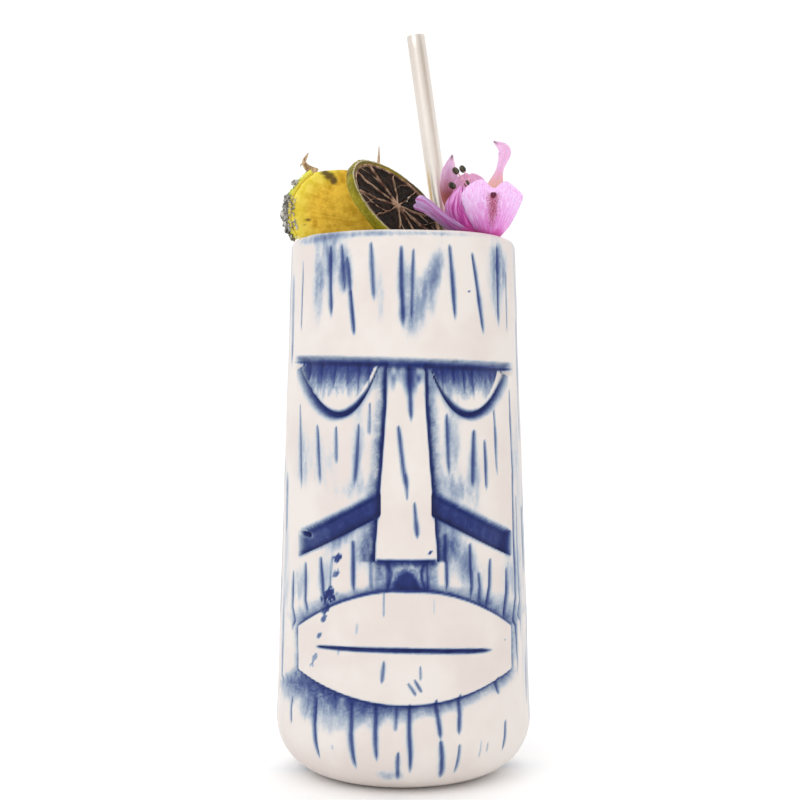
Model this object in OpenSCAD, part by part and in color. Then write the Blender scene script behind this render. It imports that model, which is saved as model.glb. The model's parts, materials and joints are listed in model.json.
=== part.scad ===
// Tiki mug: a slip-cast tumbler with a carved face, filled with crushed ice, and dressed with a
// steel straw, a pineapple wedge, a dried lime wheel and a Peruvian-lily bloom.
// Millimetres. The mug stands on z = 0 with its axis on +Z. The face looks towards -Y.

/* [Mug] */
// Height of the mug from foot to lip
mug_height = 170; // [165:1:175]
// Outer radius at the lip
lip_radius = 36; // [35.5:0.1:37]
// Largest outer radius, just above the heel
belly_radius = 40.8; // [40.5:0.1:42]
// Thickness of the cast wall and floor
wall = 4.4; // [4.2:0.1:4.8]

/* [Face] */
// Depth of the two bars across the cheeks
cheek_depth = 2.5; // [1.5:0.1:2.7]
// Depth of the eyelid outlines
eye_depth = 2.1; // [1.2:0.1:2.4]
// Height by which the nose and the lips stand out
proud = 1.2; // [0.6:0.1:1.6]
// Depth of the bark grain
grain_depth = 0.8; // [0.4:0.1:1.2]

/* [Straw] */
// Outer diameter of the straw
straw_diameter = 6; // [5.5:0.1:6]
// Wall thickness of the straw
straw_wall = 0.5; // [0.4:0.1:0.8]
// Length of the straw
straw_length = 178; // [165:1:180]

/* [Garnish] */
// Radius of the dried lime wheel
lime_radius = 19.5; // [17:0.5:19.5]
// Thickness of the dried lime wheel
lime_thickness = 4; // [3:0.5:4]
// Thickness of the pineapple wedge
wedge_thickness = 11; // [8:0.5:11]
// Thickness of a tepal
tepal_thickness = 0.6; // [0.4:0.1:0.8]

/* [Hidden] */
$fn = 64;
gap = 0.4;

// Mug profile: a round heel and a round lip, joined by one straight line that touches both.
heel = 17.2;
lip = 3.6;
heel_centre = [belly_radius - heel, heel];
lip_centre = [lip_radius - lip, mug_height - lip];
run = lip_centre - heel_centre;
lean = atan2(run[1], run[0]) - acos((heel - lip) / norm(run));
side = [cos(lean), sin(lean)];

// Heights on the face
brow_low = 128.4;
brow_high = 131;
eye_x = 19.2;
eye_half = 12.3;
eye_drop = 14.6;
nose_foot = 71;

// Crushed ice
ice_low = 128;
ice_high = 161.5;
ice_radius = 30.9;

// Straw
straw_top = [4.3, 10, 238.7];
straw_lean = 8;

// Pineapple wedge
wedge_y = 6.6;
wedge_centre = [-22.1, 179.8];
wedge_radius = 16.7;
rind_thickness = 2.4;
wedge_top = 194.3;
wedge_ledge = 171.4;
wedge_foot = 152;
wedge_left = -24;
wedge_right = -8;
slice_right = -5.5;

// Lime wheel
lime_centre = [-2.65, -12.6, 179.05];
lime_tilt = 54.7;
lime_heading = -39.7;
segments = 10;

// Bloom
bloom = [24, -12, 168];
ovary_radius = 2.6;
stalk_radius = 1.4;
stalk_foot = 147;

// Grain cuts as [angle from the middle of the face, lowest z, highest z]. They stay on the straight
// wall, between the heel and the lip.
face_grain = [
  [-60, 138, 163], [-39, 142, 165], [-29, 138, 165], [-16, 148, 165], [-2, 139, 165], [3, 140, 165],
  [23, 141, 165], [37, 138, 164], [52, 139, 165], [61, 138, 156],
  [-58, 90, 117], [-44, 92, 111], [-34, 99, 110], [-22, 95, 111], [19, 95, 114], [33, 91, 109],
  [40, 90, 106], [47, 94, 114], [61, 90, 122],
  [-51, 54, 68], [-40, 58, 70], [-61, 49, 64], [30, 59, 74], [35, 58, 66], [40, 56, 69], [53, 52, 66],
  [-60, 19, 27], [-43, 19, 28], [-24, 19, 26], [-13, 19, 25], [2, 19, 25], [15, 19, 25], [23, 19, 26]
];
// The bark goes on round the back in staggered cuts.
back_grain = [
  for (i = [0:11])
  for (row = [0:2])
  let (angle = 78 + i * 18.5 + row * 5, low = 28 + row * 46 + 9 * sin(70 * i))
  [angle, low, low + 30 + 8 * cos(110 * i)]
];

// One curve of the mug, moved outward by grow.
module mug_outline(grow) {
  intersection() {
    union() {
      translate(heel_centre) circle(heel + grow);
      translate(lip_centre) circle(lip + grow);
      polygon([
        [0, -grow],
        [heel_centre[0], -grow],
        heel_centre + (heel + grow) * side,
        lip_centre + (lip + grow) * side,
        [lip_centre[0], mug_height + grow],
        [0, mug_height + grow]
      ]);
    }
    translate([0, -10]) square([belly_radius + 10, mug_height + 20]);
  }
}

module mug_layer(grow) {
  rotate_extrude() mug_outline(grow);
}

// The inside follows the outside at the wall's thickness and opens at the mouth.
module mug_hollow() {
  mouth = heel_centre + (heel - wall) * side;
  climb = mug_height + 2 - mouth[1];
  rotate_extrude() {
    translate(heel_centre) circle(heel - wall);
    polygon([
      [0, wall],
      [heel_centre[0], wall],
      mouth,
      mouth + [-climb * tan(lean), climb],
      [0, mug_height + 2]
    ]);
  }
}

// Carries an outline drawn in X and Z to the front of the mug.
module to_front() {
  translate([0, -8, 0]) rotate([90, 0, 0]) linear_extrude(50) children();
}

module sunk(depth) {
  difference() {
    to_front() children();
    mug_layer(-depth);
  }
}

// An eyelid: straight on top, hanging in a deep curve.
function lid_points(half, drop) = [
  for (i = [0:16])
  let (t = -1 + i / 8)
  [t * half, brow_high - 0.6 - drop * pow(1 - t * t, 0.62)]
];

module lids(half, drop) {
  for (way = [-1, 1]) translate([way * eye_x, 0]) polygon(lid_points(half, drop));
}

module nose_outline(spread) {
  polygon([
    [-5.5 - spread, brow_high - 1], [5.5 + spread, brow_high - 1],
    [9.2 + spread, nose_foot - spread], [-9.2 - spread, nose_foot - spread]
  ]);
}

module cheek_bars() {
  for (way = [-1, 1]) {
    polygon([[way * 8.4, 91.2], [way * 32.6, 77.7], [way * 32.6, 70.9], [way * 8.4, 84.1]]);
  }
}

// The lips are the overlap of a high arc and a flat arc, cut off square at both corners.
module lips_outline(spread) {
  intersection() {
    translate([0, 61.9 - 48.8]) circle(48.8 + spread, $fn = 128);
    translate([0, 28.1 + 75]) circle(75 + spread, $fn = 128);
    translate([-33 - spread, 20]) square([66 + 2 * spread, 50]);
  }
}

module grain() {
  difference() {
    union() {
      for (cut = concat(face_grain, back_grain)) {
        rotate([0, 0, cut[0]]) translate([-0.5, -48, cut[1]]) cube([1, 22, cut[2] - cut[1]]);
      }
    }
    mug_layer(-grain_depth);
  }
}

module mug_shell() {
  color("linen") difference() {
    union() {
      difference() {
        mug_layer(0);
        sunk(1.6) translate([-33.5, brow_low]) square([67, brow_high - brow_low]);
        sunk(1.2) lids(eye_half - 1, eye_drop - 1.5);
        sunk(1.5) difference() {
          nose_outline(3.4);
          translate([-30, brow_high - 1]) square([60, 20]);
        }
        sunk(cheek_depth) cheek_bars();
        sunk(0.8) lips_outline(1.6);
      }
      intersection() {
        to_front() nose_outline(0);
        mug_layer(proud);
      }
      intersection() {
        to_front() lips_outline(0);
        mug_layer(proud / 2);
      }
    }
    sunk(eye_depth) difference() {
      lids(eye_half, eye_drop);
      lids(eye_half - 1.4, eye_drop - 1.9);
    }
    sunk(1.2) translate([-27.4, 43.7]) square([54.8, 1.3]);
    grain();
    mug_hollow();
  }
}

module straw_place() {
  translate(straw_top) rotate([0, -straw_lean, 0]) translate([0, 0, -straw_length]) children();
}

// A raft of packed ice with room for what stands in it.
module crushed_ice() {
  color("lightcyan", 0.5) difference() {
    translate([0, 0, ice_low]) cylinder(h = ice_high - ice_low, r = ice_radius);
    straw_place() cylinder(h = straw_length, r = straw_diameter / 2 + gap);
    translate([wedge_left - gap, wedge_y - gap, wedge_foot - gap]) {
      cube([wedge_right - wedge_left + 2 * gap, wedge_thickness + 2 * gap, 30]);
    }
    translate([bloom[0], bloom[1], stalk_foot - gap]) cylinder(h = 30, r = ovary_radius + gap);
  }
}

module straw_tube() {
  color("silver") straw_place() difference() {
    cylinder(h = straw_length, r = straw_diameter / 2);
    translate([0, 0, -1]) cylinder(h = straw_length + 2, r = straw_diameter / 2 - straw_wall);
  }
}

// Carries an outline drawn in X and Z to the wedge, which lies behind the lime wheel.
module to_wedge() {
  translate([0, wedge_y + wedge_thickness, 0]) rotate([90, 0, 0]) {
    linear_extrude(wedge_thickness) children();
  }
}

module wedge_band() {
  translate([-60, wedge_ledge]) square([60 + slice_right, wedge_top - wedge_ledge]);
}

module pineapple_flesh() {
  color("gold") to_wedge() {
    intersection() {
      wedge_band();
      union() {
        translate(wedge_centre) circle(wedge_radius - rind_thickness);
        translate([wedge_centre[0], wedge_foot]) square([slice_right - wedge_centre[0], 60]);
      }
    }
    translate([wedge_left, wedge_foot]) square([wedge_right - wedge_left, wedge_ledge - wedge_foot]);
  }
}

module pineapple_rind() {
  color("olivedrab") to_wedge() intersection() {
    wedge_band();
    translate([-60, 0]) square([60 + wedge_centre[0], 300]);
    difference() {
      translate(wedge_centre) circle(wedge_radius);
      translate(wedge_centre) circle(wedge_radius - rind_thickness);
    }
  }
}

// Dried eyes of the fruit, set in the outside of the rind.
module pineapple_scales() {
  color("dimgray") for (turn = [133, 158, 183, 205]) {
    for (along = [2.6, 8.4]) {
      translate([
        wedge_centre[0] + wedge_radius * cos(turn),
        wedge_y + along,
        wedge_centre[1] + wedge_radius * sin(turn)
      ]) sphere(1.9, $fn = 32);
    }
  }
}

// A dry spike that curls over to the left.
module pineapple_bract() {
  color("tan") translate([-37.4, wedge_y + 6.6, wedge_top - 0.6]) rotate([90, 0, 0]) {
    rotate_extrude(angle = 75) translate([5.4, 0]) square([1, 2.2]);
  }
}

module to_lime() {
  translate(lime_centre) rotate([0, 0, lime_heading]) rotate([0, lime_tilt, 0]) {
    translate([0, 0, -lime_thickness / 2]) linear_extrude(lime_thickness) children();
  }
}

module membrane_web() {
  difference() {
    circle(lime_radius - 2);
    circle(lime_radius - 3);
  }
  circle(1.8);
  for (i = [0:segments - 1]) {
    rotate(i * 360 / segments) translate([1, -0.35]) square([lime_radius - 3.5, 0.7]);
  }
}

module lime_rind() {
  color("olive") to_lime() difference() {
    circle(lime_radius);
    circle(lime_radius - 2);
  }
}

module lime_membranes() {
  color("burlywood") to_lime() membrane_web();
}

module lime_pulp() {
  color("saddlebrown") to_lime() difference() {
    circle(lime_radius - 3);
    membrane_web();
  }
}

// Outline of a tepal: narrow at the foot, widest past the middle, blunt at the tip.
function tepal_points(length, width) = concat(
  [for (i = [0:10]) [width / 2 * (0.12 + 0.88 * sin(180 * pow(i / 10, 1.35))), length * i / 10]],
  [for (i = [10:-1:0]) [-width / 2 * (0.12 + 0.88 * sin(180 * pow(i / 10, 1.35))), length * i / 10]]
);

// A tepal is a piece of a thin ball, so it is cupped towards the middle of the bloom.
module tepal(heading, tilt, length, width, roll = 0) {
  ball = 1.1 * length;
  translate(bloom) rotate([0, 0, heading]) rotate([0, tilt, 0]) rotate([0, 0, roll]) {
    intersection() {
      translate([-ball + 1.2, 0, length / 2]) difference() {
        sphere(ball);
        sphere(ball - tepal_thickness);
      }
      rotate([90, 0, 90]) linear_extrude(12, center = true) polygon(tepal_points(length, width));
    }
  }
}

module tepal_front() {
  color("orchid") tepal(-70, 32, 22, 18);
}

module tepal_left() {
  color("plum") tepal(-156, 58, 26, 10, -40);
}

module tepal_inner_left() {
  color("orchid") tepal(-128, 34, 21, 6);
}

module tepal_back() {
  color("plum") tepal(100, 22, 24, 9);
}

module tepal_back_left() {
  color("violet") tepal(142, 24, 31, 6);
}

module tepal_hooked() {
  color("violet") tepal(38, 15, 33, 5);
}

// Lean of each stamen as [heading, tilt, length].
stamens = [[150, 20, 24], [120, 12, 25], [175, 27, 20], [60, 10, 19], [-40, 14, 16], [-120, 16, 17]];

module stamen_place(stamen) {
  translate(bloom) rotate([0, 0, stamen[0]]) rotate([0, stamen[1], 0]) children();
}

module filaments() {
  color("pink") for (stamen = stamens) stamen_place(stamen) cylinder(h = stamen[2], r = 0.35);
}

module anthers() {
  color("darkslategray") for (stamen = stamens) {
    stamen_place(stamen) translate([0, 0, stamen[2]]) cylinder(h = 2.6, r = 0.9);
  }
}

module pistil() {
  color("mediumvioletred") translate(bloom) cylinder(h = 18, r = 0.45);
}

module ovary() {
  color("yellowgreen") translate([bloom[0], bloom[1], bloom[2] - 2]) sphere(ovary_radius);
}

module stalk() {
  color("olivedrab") translate([bloom[0], bloom[1], stalk_foot]) {
    cylinder(h = bloom[2] - 4 - stalk_foot, r = stalk_radius);
  }
}

mug_shell();
crushed_ice();
straw_tube();
pineapple_flesh();
pineapple_rind();
pineapple_scales();
pineapple_bract();
lime_rind();
lime_membranes();
lime_pulp();
tepal_front();
tepal_left();
tepal_inner_left();
tepal_back();
tepal_back_left();
tepal_hooked();
filaments();
anthers();
pistil();
ovary();
stalk();
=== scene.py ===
import json
import math

import bmesh
import bpy
import numpy as np
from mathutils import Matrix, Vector


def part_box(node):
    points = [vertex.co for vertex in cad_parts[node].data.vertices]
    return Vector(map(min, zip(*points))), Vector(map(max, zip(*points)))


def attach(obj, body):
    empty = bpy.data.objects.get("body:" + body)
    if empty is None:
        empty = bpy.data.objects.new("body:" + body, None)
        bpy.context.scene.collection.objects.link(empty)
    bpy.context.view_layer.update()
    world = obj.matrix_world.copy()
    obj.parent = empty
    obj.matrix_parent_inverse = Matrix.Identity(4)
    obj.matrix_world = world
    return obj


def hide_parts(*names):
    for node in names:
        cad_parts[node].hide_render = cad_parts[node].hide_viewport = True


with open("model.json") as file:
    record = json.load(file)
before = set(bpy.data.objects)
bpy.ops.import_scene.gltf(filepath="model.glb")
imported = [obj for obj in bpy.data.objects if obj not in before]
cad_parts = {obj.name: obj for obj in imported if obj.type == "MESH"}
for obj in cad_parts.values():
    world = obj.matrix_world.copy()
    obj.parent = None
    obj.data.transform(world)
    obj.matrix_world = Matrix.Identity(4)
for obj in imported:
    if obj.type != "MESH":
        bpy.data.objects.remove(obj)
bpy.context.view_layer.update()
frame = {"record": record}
MM = 0.001

# ---------------------------------------------------------------------------------------------
# The mug. One slip-cast piece of white earthenware: clay is poured into a plaster mould, so the
# wall is the same thickness everywhere and the face and the bark are soft relief in its outside.
# Blue stain is sponged into the cuts, wiped off the high ground, and fired under a satin glaze.
# ---------------------------------------------------------------------------------------------
def in_mm(box):
    """A box's lowest and highest corners, in mm."""
    return [np.array(corner) / MM for corner in box]


BELLY_RADIUS, _, MUG_HEIGHT = in_mm(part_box("mug_shell"))[1]
LIP_RADIUS = 36.0
HEEL_ROUND = 17.2
LIP_ROUND = 3.6
LIP_INNER_ROUND = 0.9
WALL = 4.4
heel_centre = np.array([BELLY_RADIUS - HEEL_ROUND, HEEL_ROUND])
lip_centre = np.array([LIP_RADIUS - LIP_ROUND, MUG_HEIGHT - LIP_ROUND])
run = lip_centre - heel_centre
LEAN = math.atan2(run[1], run[0]) - math.acos((HEEL_ROUND - LIP_ROUND) / math.hypot(*run))


def rise(low, high, value):
    """0 below low and 1 above high, with a soft turn at both ends."""
    t = np.clip((value - low) / (high - low), 0, 1)
    return t * t * (3 - 2 * t)


def band(start, full, fade, stop, value):
    """0 outside start to stop and 1 from full to fade."""
    return rise(start, full, value) * (1 - rise(fade, stop, value))


def ridge(off, half):
    """1 on a line, fading away with the distance off it."""
    return np.exp(-((off / half) ** 2))


def arc_points(centre, radius, start, stop, count):
    """Points along an arc as [r, z], with the way that its outside faces."""
    turn = np.linspace(start, stop, count)
    facing = np.stack([np.cos(turn), np.sin(turn)], 1)
    return centre + radius * facing, facing


def mug_profile():
    """The mug's section from the middle of the foot, over the lip, to the middle of the floor."""
    down = np.array([0.0, -1.0])
    side = np.array([math.cos(LEAN), math.sin(LEAN)])
    foot = np.stack([np.linspace(0.6, heel_centre[0] - 1, 5), np.zeros(5)], 1)
    heel, heel_face = arc_points(heel_centre, HEEL_ROUND, -math.pi / 2, LEAN, 38)
    lip, lip_face = arc_points(lip_centre, LIP_ROUND, LEAN, math.pi / 2, 12)
    inner_centre = np.array([lip_centre[0], MUG_HEIGHT - LIP_INNER_ROUND])
    inner_lip, inner_face = arc_points(inner_centre, LIP_INNER_ROUND, math.pi / 2 + 0.4, math.pi, 6)
    well, well_face = arc_points(heel_centre, HEEL_ROUND - WALL, LEAN, -math.pi / 2, 12)
    wall = np.linspace(heel[-1], lip[0], 268)[1:-1]
    inside = np.linspace(inner_lip[-1], well[0], 14)[1:-1]
    floor = np.stack([np.linspace(heel_centre[0] - 2, 0.6, 5), np.full(5, WALL)], 1)
    pieces = [
        (foot, np.tile(down, (5, 1)), 0), (heel, heel_face, 1), (wall, np.tile(side, (len(wall), 1)), 1),
        (lip, lip_face, 1), (inner_lip, inner_face, 0), (inside, np.tile(-side, (len(inside), 1)), 0),
        (well, -well_face, 0), (floor, np.tile(-down, (5, 1)), 0),
    ]
    points = np.concatenate([p for p, _, _ in pieces])
    facing = np.concatenate([f for _, f, _ in pieces])
    outside = np.concatenate([np.full(len(p), o) for p, _, o in pieces])
    return points, facing, outside


def value_noise(x, y, seed):
    """Smooth random ground from 0 to 1 with hills one unit apart."""
    lattice = np.random.default_rng(seed).random((64, 64))
    left, low = np.floor(x).astype(int), np.floor(y).astype(int)
    across, up = x - left, y - low
    across, up = across * across * (3 - 2 * across), up * up * (3 - 2 * up)
    corner = [lattice[(left + i) % 64, (low + j) % 64] for i in (0, 1) for j in (0, 1)]
    low_edge = corner[0] * (1 - across) + corner[2] * across
    return low_edge * (1 - up) + (corner[1] * (1 - across) + corner[3] * across) * up


class Relief:
    """Depth below the plain wall, in mm, and how much blue stain each place holds."""

    def __init__(self, angle, radius, height):
        self.angle, self.radius, self.height = angle, radius, height
        self.front = (np.abs(angle) < 80).astype(float)
        self.across = radius * np.sin(np.radians(angle))
        self.depth = np.zeros_like(height)
        self.stain = np.zeros_like(height)

    def cut(self, share, depth, stain):
        """Cuts to this depth where share is 1, and never fills in a deeper cut."""
        self.depth = np.maximum(self.depth, share * depth)
        self.stain = np.maximum(self.stain, share * stain)

    def wash(self, share, stain):
        """A thin smear of stain on the surface."""
        self.stain = self.stain + (1 - self.stain) * share * stain

    def stroke(self, start, end, width, sharp=0.35):
        """How near each place is to a stroke from start to end, which tapers to both ends."""
        a = np.array([np.radians(start[0]) * self.radius, np.full_like(self.height, start[1])])
        b = np.array([np.radians(end[0]) * self.radius, np.full_like(self.height, end[1])])
        here = np.array([np.radians(self.angle) * self.radius, self.height])
        way = b - a
        t = ((here - a) * way).sum(0) / (way * way).sum(0)
        inside = (t > 0) & (t < 1)
        t = np.clip(t, 0, 1)
        wander = (value_noise(self.height / 11, np.full_like(t, start[0] + 50), 5) - 0.5) * 0.5
        side = ((here - a)[0] * way[1] - (here - a)[1] * way[0]) / np.hypot(*way) + wander
        uneven = 0.8 + 0.4 * value_noise(self.height / 4, np.full_like(t, start[0] + 80), 6)
        half = np.maximum(0.44 * width * np.sin(np.pi * t) ** sharp * uneven, 0.05)
        return np.exp(-1.6 * (side / half) ** 2) * band(0, 0.06, 0.8, 1, t) * inside

    def patch(self, angle, height, half_across, half_up, slant=0.0):
        """A soft-edged patch, 1 in its middle."""
        side = np.radians(self.angle - angle) * self.radius - slant * (self.height - height)
        far = (side / half_across) ** 2 + ((self.height - height) / half_up) ** 2
        return np.exp(-1.5 * far)


# Bark cuts on the face as (top angle, top height, bottom angle, bottom height, width, strength).
# An angle is measured from the middle of the face, in degrees, and is positive to the right.
BARK = [
    (-60.5, 163, -61.3, 138, 1.0, 0.75), (-39.6, 166, -38, 142, 1.9, 0.9),
    (-32.5, 166, -30, 150, 1.8, 0.7), (-29, 162, -27, 149, 1.3, 0.7), (-27.5, 152, -24.6, 137, 1.7, 0.95),
    (-17.2, 166.5, -15, 147, 1.7, 0.75), (-2, 165.5, -1.6, 139, 1.9, 1.0), (3.8, 164.5, 2.6, 140.5, 1.5, 0.7),
    (21.6, 166, 24, 141, 1.7, 0.95), (34.2, 164, 40.8, 137, 1.8, 0.95), (51.8, 167, 52.4, 139.5, 1.5, 0.9),
    (60.8, 159, 60.2, 138, 1.1, 0.6),
    (-59.3, 118, -56.2, 90, 1.3, 0.65), (-45.7, 111.5, -42.4, 92, 1.5, 0.75),
    (-33.8, 111, -33.3, 98.5, 1.4, 0.7),
    (-21.6, 112, -23.6, 92, 1.7, 0.8), (-17, 118, -17, 107.5, 1.3, 0.6),
    (19, 115, 20, 95, 1.5, 0.8), (33.2, 110, 32, 91, 2.5, 0.9), (39.6, 107, 40.2, 90, 1.6, 0.85),
    (46, 116, 48.2, 94, 1.3, 0.75), (60.5, 123, 61.8, 90, 1.2, 0.8),
    (1.2, 129.5, 2.5, 111, 1.8, 0.9), (-4, 111.5, 0.4, 91, 1.9, 0.85), (-0.4, 97, 0.4, 88, 1.2, 0.6),
    (4, 88.5, 4.8, 76.5, 1.7, 0.8),
    (-51.2, 69.5, -50.2, 52, 1.5, 0.9), (-41.4, 71.5, -38.6, 56, 1.6, 0.9), (-23.9, 77, -23.6, 60, 1.7, 0.95),
    (-61.6, 66, -60.8, 46, 1.3, 0.8), (-34.5, 72, -35.5, 60, 0.9, 0.5), (-15.6, 73, -15.4, 61, 1.2, 0.7),
    (18, 79, 18.6, 60.5, 1.6, 1.0), (29.4, 76, 31, 58, 1.5, 0.95), (34.2, 67, 36, 56, 1.4, 0.8),
    (41.2, 71, 39.6, 54, 1.6, 0.95), (52.9, 67.5, 52.5, 50, 1.6, 0.9), (60.8, 97, 61.4, 30, 1.5, 0.8),
    (64.5, 90, 66, 40, 1.2, 0.5), (9.8, 71, 10, 61, 1.1, 0.8), (-8.5, 70, -8.2, 61, 1.1, 0.8),
    (-9.7, 61.5, -9.5, 53.5, 0.9, 0.45), (-21.6, 52.5, -22, 48, 1.0, 0.35),
    (-9.8, 41.4, -10.2, 34, 1.3, 0.75),
    (6.2, 40, 6.4, 35, 1.2, 0.45), (0.4, 34.9, 4.4, 30.7, 1.2, 0.7), (3.2, 35.9, 7.0, 31.6, 1.1, 0.8),
    (12, 60, 12, 54, 0.8, 0.25), (-30.6, 44, -30.4, 41.6, 0.8, 0.4),
    (-60.5, 27, -59.5, 18, 1.3, 0.7), (-43.4, 29, -41.6, 8.5, 1.7, 0.95), (-24.6, 29, -22.8, 6.8, 1.9, 0.95),
    (-13.4, 29, -13, 10, 1.9, 0.95), (-4.2, 27.5, -4.9, 20, 1.4, 0.65), (-3.3, 14.5, -3.8, 4.6, 1.7, 0.85),
    (1.6, 29, 1.4, 6.5, 1.8, 0.95), (12.4, 30, 14.8, 17, 1.8, 0.95), (14.6, 18, 16.6, 4.4, 2.0, 0.95),
    (23.8, 31, 22.8, 18, 1.6, 0.85), (23, 16.5, 22.9, 5.5, 1.3, 0.75), (44.6, 34.5, 44.8, 28.5, 1.3, 0.75),
    (49, 21, 48.6, 10.5, 1.4, 0.75), (34.2, 17, 33.9, 10, 0.8, 0.35), (38, 15, 38, 12, 0.8, 0.35),
    (-33.8, 15.5, -32.6, 13.4, 1.2, 0.3),
]
# Smears of thin stain as (angle, height, half width, half height, slant, strength).
SMEARS = [
    (-47, 155, 3.2, 14, 0, 0.36), (-39, 162, 3.4, 9, 0, 0.42), (-30.5, 158, 3.2, 8, 0, 0.36),
    (-12, 150, 1.6, 14, 0, 0.16), (12.5, 156, 3.0, 10, 0.3, 0.4), (8, 147, 5, 10, 0.3, 0.26),
    (0.5, 150, 3, 16, 0, 0.16), (54, 160, 6, 8, 0, 0.36), (50, 152, 5, 12, 0, 0.2),
    (-50, 168.2, 12, 2, 0, 0.36),
    (-20, 168.6, 16, 1.2, 0, 0.32), (20, 168.6, 16, 1.0, 0, 0.2), (-56, 101, 5, 12, 0, 0.2),
    (-27, 80, 4.6, 4.4, 0.7, 0.42), (-19, 74, 3.4, 7, 0, 0.42), (-32, 76, 4.2, 4, 0.6, 0.3),
    (22, 77, 3.0, 8, 0, 0.46), (26, 70, 4.4, 7, 0, 0.36), (31, 66, 5, 6, 0, 0.22),
    (-38, 66, 4, 7, 0, 0.2), (-55, 62, 6, 7, 0, 0.22), (56, 64, 6, 8, 0, 0.24),
    (-66, 28, 5, 10, 0, 0.1), (-70, 52, 5, 20, 0, 0.08), (70, 60, 6, 30, 0, 0.1), (66, 100, 4, 18, 0, 0.14),
    (-40, 100, 8, 14, 0, 0.13), (24, 92, 6, 5, -0.4, 0.3), (-24, 92, 6, 4, 0.4, 0.2),
    (33, 95, 3, 14, 0, 0.2), (-22, 106, 3, 14, 0, 0.2), (22, 108, 3.4, 16, 0, 0.24),
    (-47, 24, 5, 4, 0, 0.3), (-8, 6.5, 5, 2.4, 0, 0.25), (-34, 20, 5, 2.5, 0, 0.18),
]
# Dabs of stain along an old crack in the mould, as (angle, height, half width, half height, strength).
DABS = [
    (-31.8, 71, 1.5, 1.6, 0.8), (-32.6, 66.5, 1.2, 1.4, 0.6), (-36.4, 59.5, 2.6, 2.6, 1.0),
    (-37.4, 55.4, 1.5, 1.6, 0.75), (-38.6, 52.6, 1.1, 1.3, 0.6), (-41, 47.4, 1.1, 1.2, 0.6),
    (-43.6, 40.6, 1.2, 1.5, 0.45), (-45, 38.2, 1.1, 0.9, 0.4), (10.5, 73.3, 0.5, 0.5, 0.9),
    (32, 151.5, 0.5, 0.4, 0.6), (50, 45, 0.6, 0.5, 0.4), (-60, 34, 0.8, 1.2, 0.5),
]
BROW_HEIGHT, BROW_FALL, BROW_HALF = 131.4, 0.032, 33.0
# Each eye as (side, middle, half width, strokes drawn down its lid).
EYES = ((-1, -21.1, 12.5, 6), (1, 20.05, 12.3, 4))
EYE_FOOT = 114.4
NOSE_FOOT, NOSE_TOP = 71.0, 130.0
# The cheek bars run outward and down from beside the nose.
BAR_START, BAR_END = 8.0, 32.6
BAR_HIGH, BAR_LOW = 87.65, 74.3
BAR_HALF = 3.05
# Each lip's edge is an arc: its height at the middle of the face, and its radius.
UPPER_LIP, UPPER_CURVE = 61.9, 48.8
LOWER_LIP, LOWER_CURVE = 28.1, 75.0
LIPS_HALF = 33.0
MOUTH_LEFT, MOUTH_LENGTH, MOUTH_HEIGHT = -27.6, 55.0, 43.9


def carve_brow_and_eyes(r):
    x, z = r.across, r.height
    brow = BROW_HEIGHT - BROW_FALL * x
    ends = 1 - rise(BROW_HALF, BROW_HALF + 1.6, np.abs(x + 0.2))
    below = brow - z
    ledge = band(-0.2, 2.6, 3.0, 4.6, below) * ends * r.front
    r.cut(ledge, 2.6, 0.0)
    shade = band(-0.6, 1.6, 2.2, 3.4, below) * ends * r.front
    r.wash(shade, 0.5 + 0.12 * value_noise(x / 4, z, 10))
    taper = 0.3 + 0.7 * rise(34, 24, np.abs(x))
    line = ridge(below - 2.3, 0.6 * taper) * ends * (1 - 0.8 * (np.abs(x) < 5.4)) * r.front
    r.wash(line, 0.95)
    for way, eye_middle, eye_half, strokes in EYES:
        u = (x - eye_middle) / eye_half
        lid_top = brow - 1.9
        drop = (lid_top - EYE_FOOT) * np.clip(1 - u * u, 0, 1) ** 0.85
        above_edge = z - (lid_top - drop)
        slope = np.hypot(1, 1.7 * (lid_top - EYE_FOOT) * u / eye_half)
        gap = above_edge / slope
        lid = rise(0.0, 0.6, gap) * (np.abs(u) < 1) * (z < brow - 0.6) * r.front
        up = np.clip((z - EYE_FOOT) / (lid_top - EYE_FOOT), 0, 1)
        r.cut(lid, 0.7 + 1.9 * up, 0.0)
        streaky = value_noise(x / 0.9, z / 5, 11) + 0.6 * value_noise(x / 0.4, z / 0.8, 12)
        blue = rise(0.2, 0.95, up + 0.2 * (streaky - 0.8))
        # Blue is kept off a crescent along the lid's edge, widest at its right end: a painted highlight on
        # the lid's rim.
        clear = rise(0.0, 0.5, gap - 1.3 * rise(-0.2, 0.55, u))
        r.wash(lid * blue * clear * rise(1.9, 2.6, below), 0.76)
        bottom = np.clip(1 - u * u, 0, 1) ** 1.3
        half = 0.26 + 0.85 * bottom
        at_eye = (np.abs(u) < 1.0) * rise(1.4, 2.2, below) * r.front
        groove = ridge(gap + 0.2, half) * at_eye
        r.cut(groove, 2.3, 0.0)
        r.wash(groove, 0.78 + 0.22 * bottom)
        r.wash(ridge(gap + 0.9, 1.3) * at_eye * (gap < 0), 0.22)
        for i in range(strokes):
            place = eye_middle + eye_half * (-0.75 + 0.29 * i + 0.08 * math.sin(7 * i + way))
            reach = 5.5 + 4.5 * abs(math.sin(2.3 * i + way))
            t = np.clip((brow - 2.6 - z) / reach, 0, 1)
            near = ridge(x - place, 0.42 * (1 - t) + 0.08) * (t < 1) * (1 - t) ** 0.4
            near = near * lid * (below > 2.1)
            r.depth = r.depth + 0.35 * near
            r.wash(near, 0.55)


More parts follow.
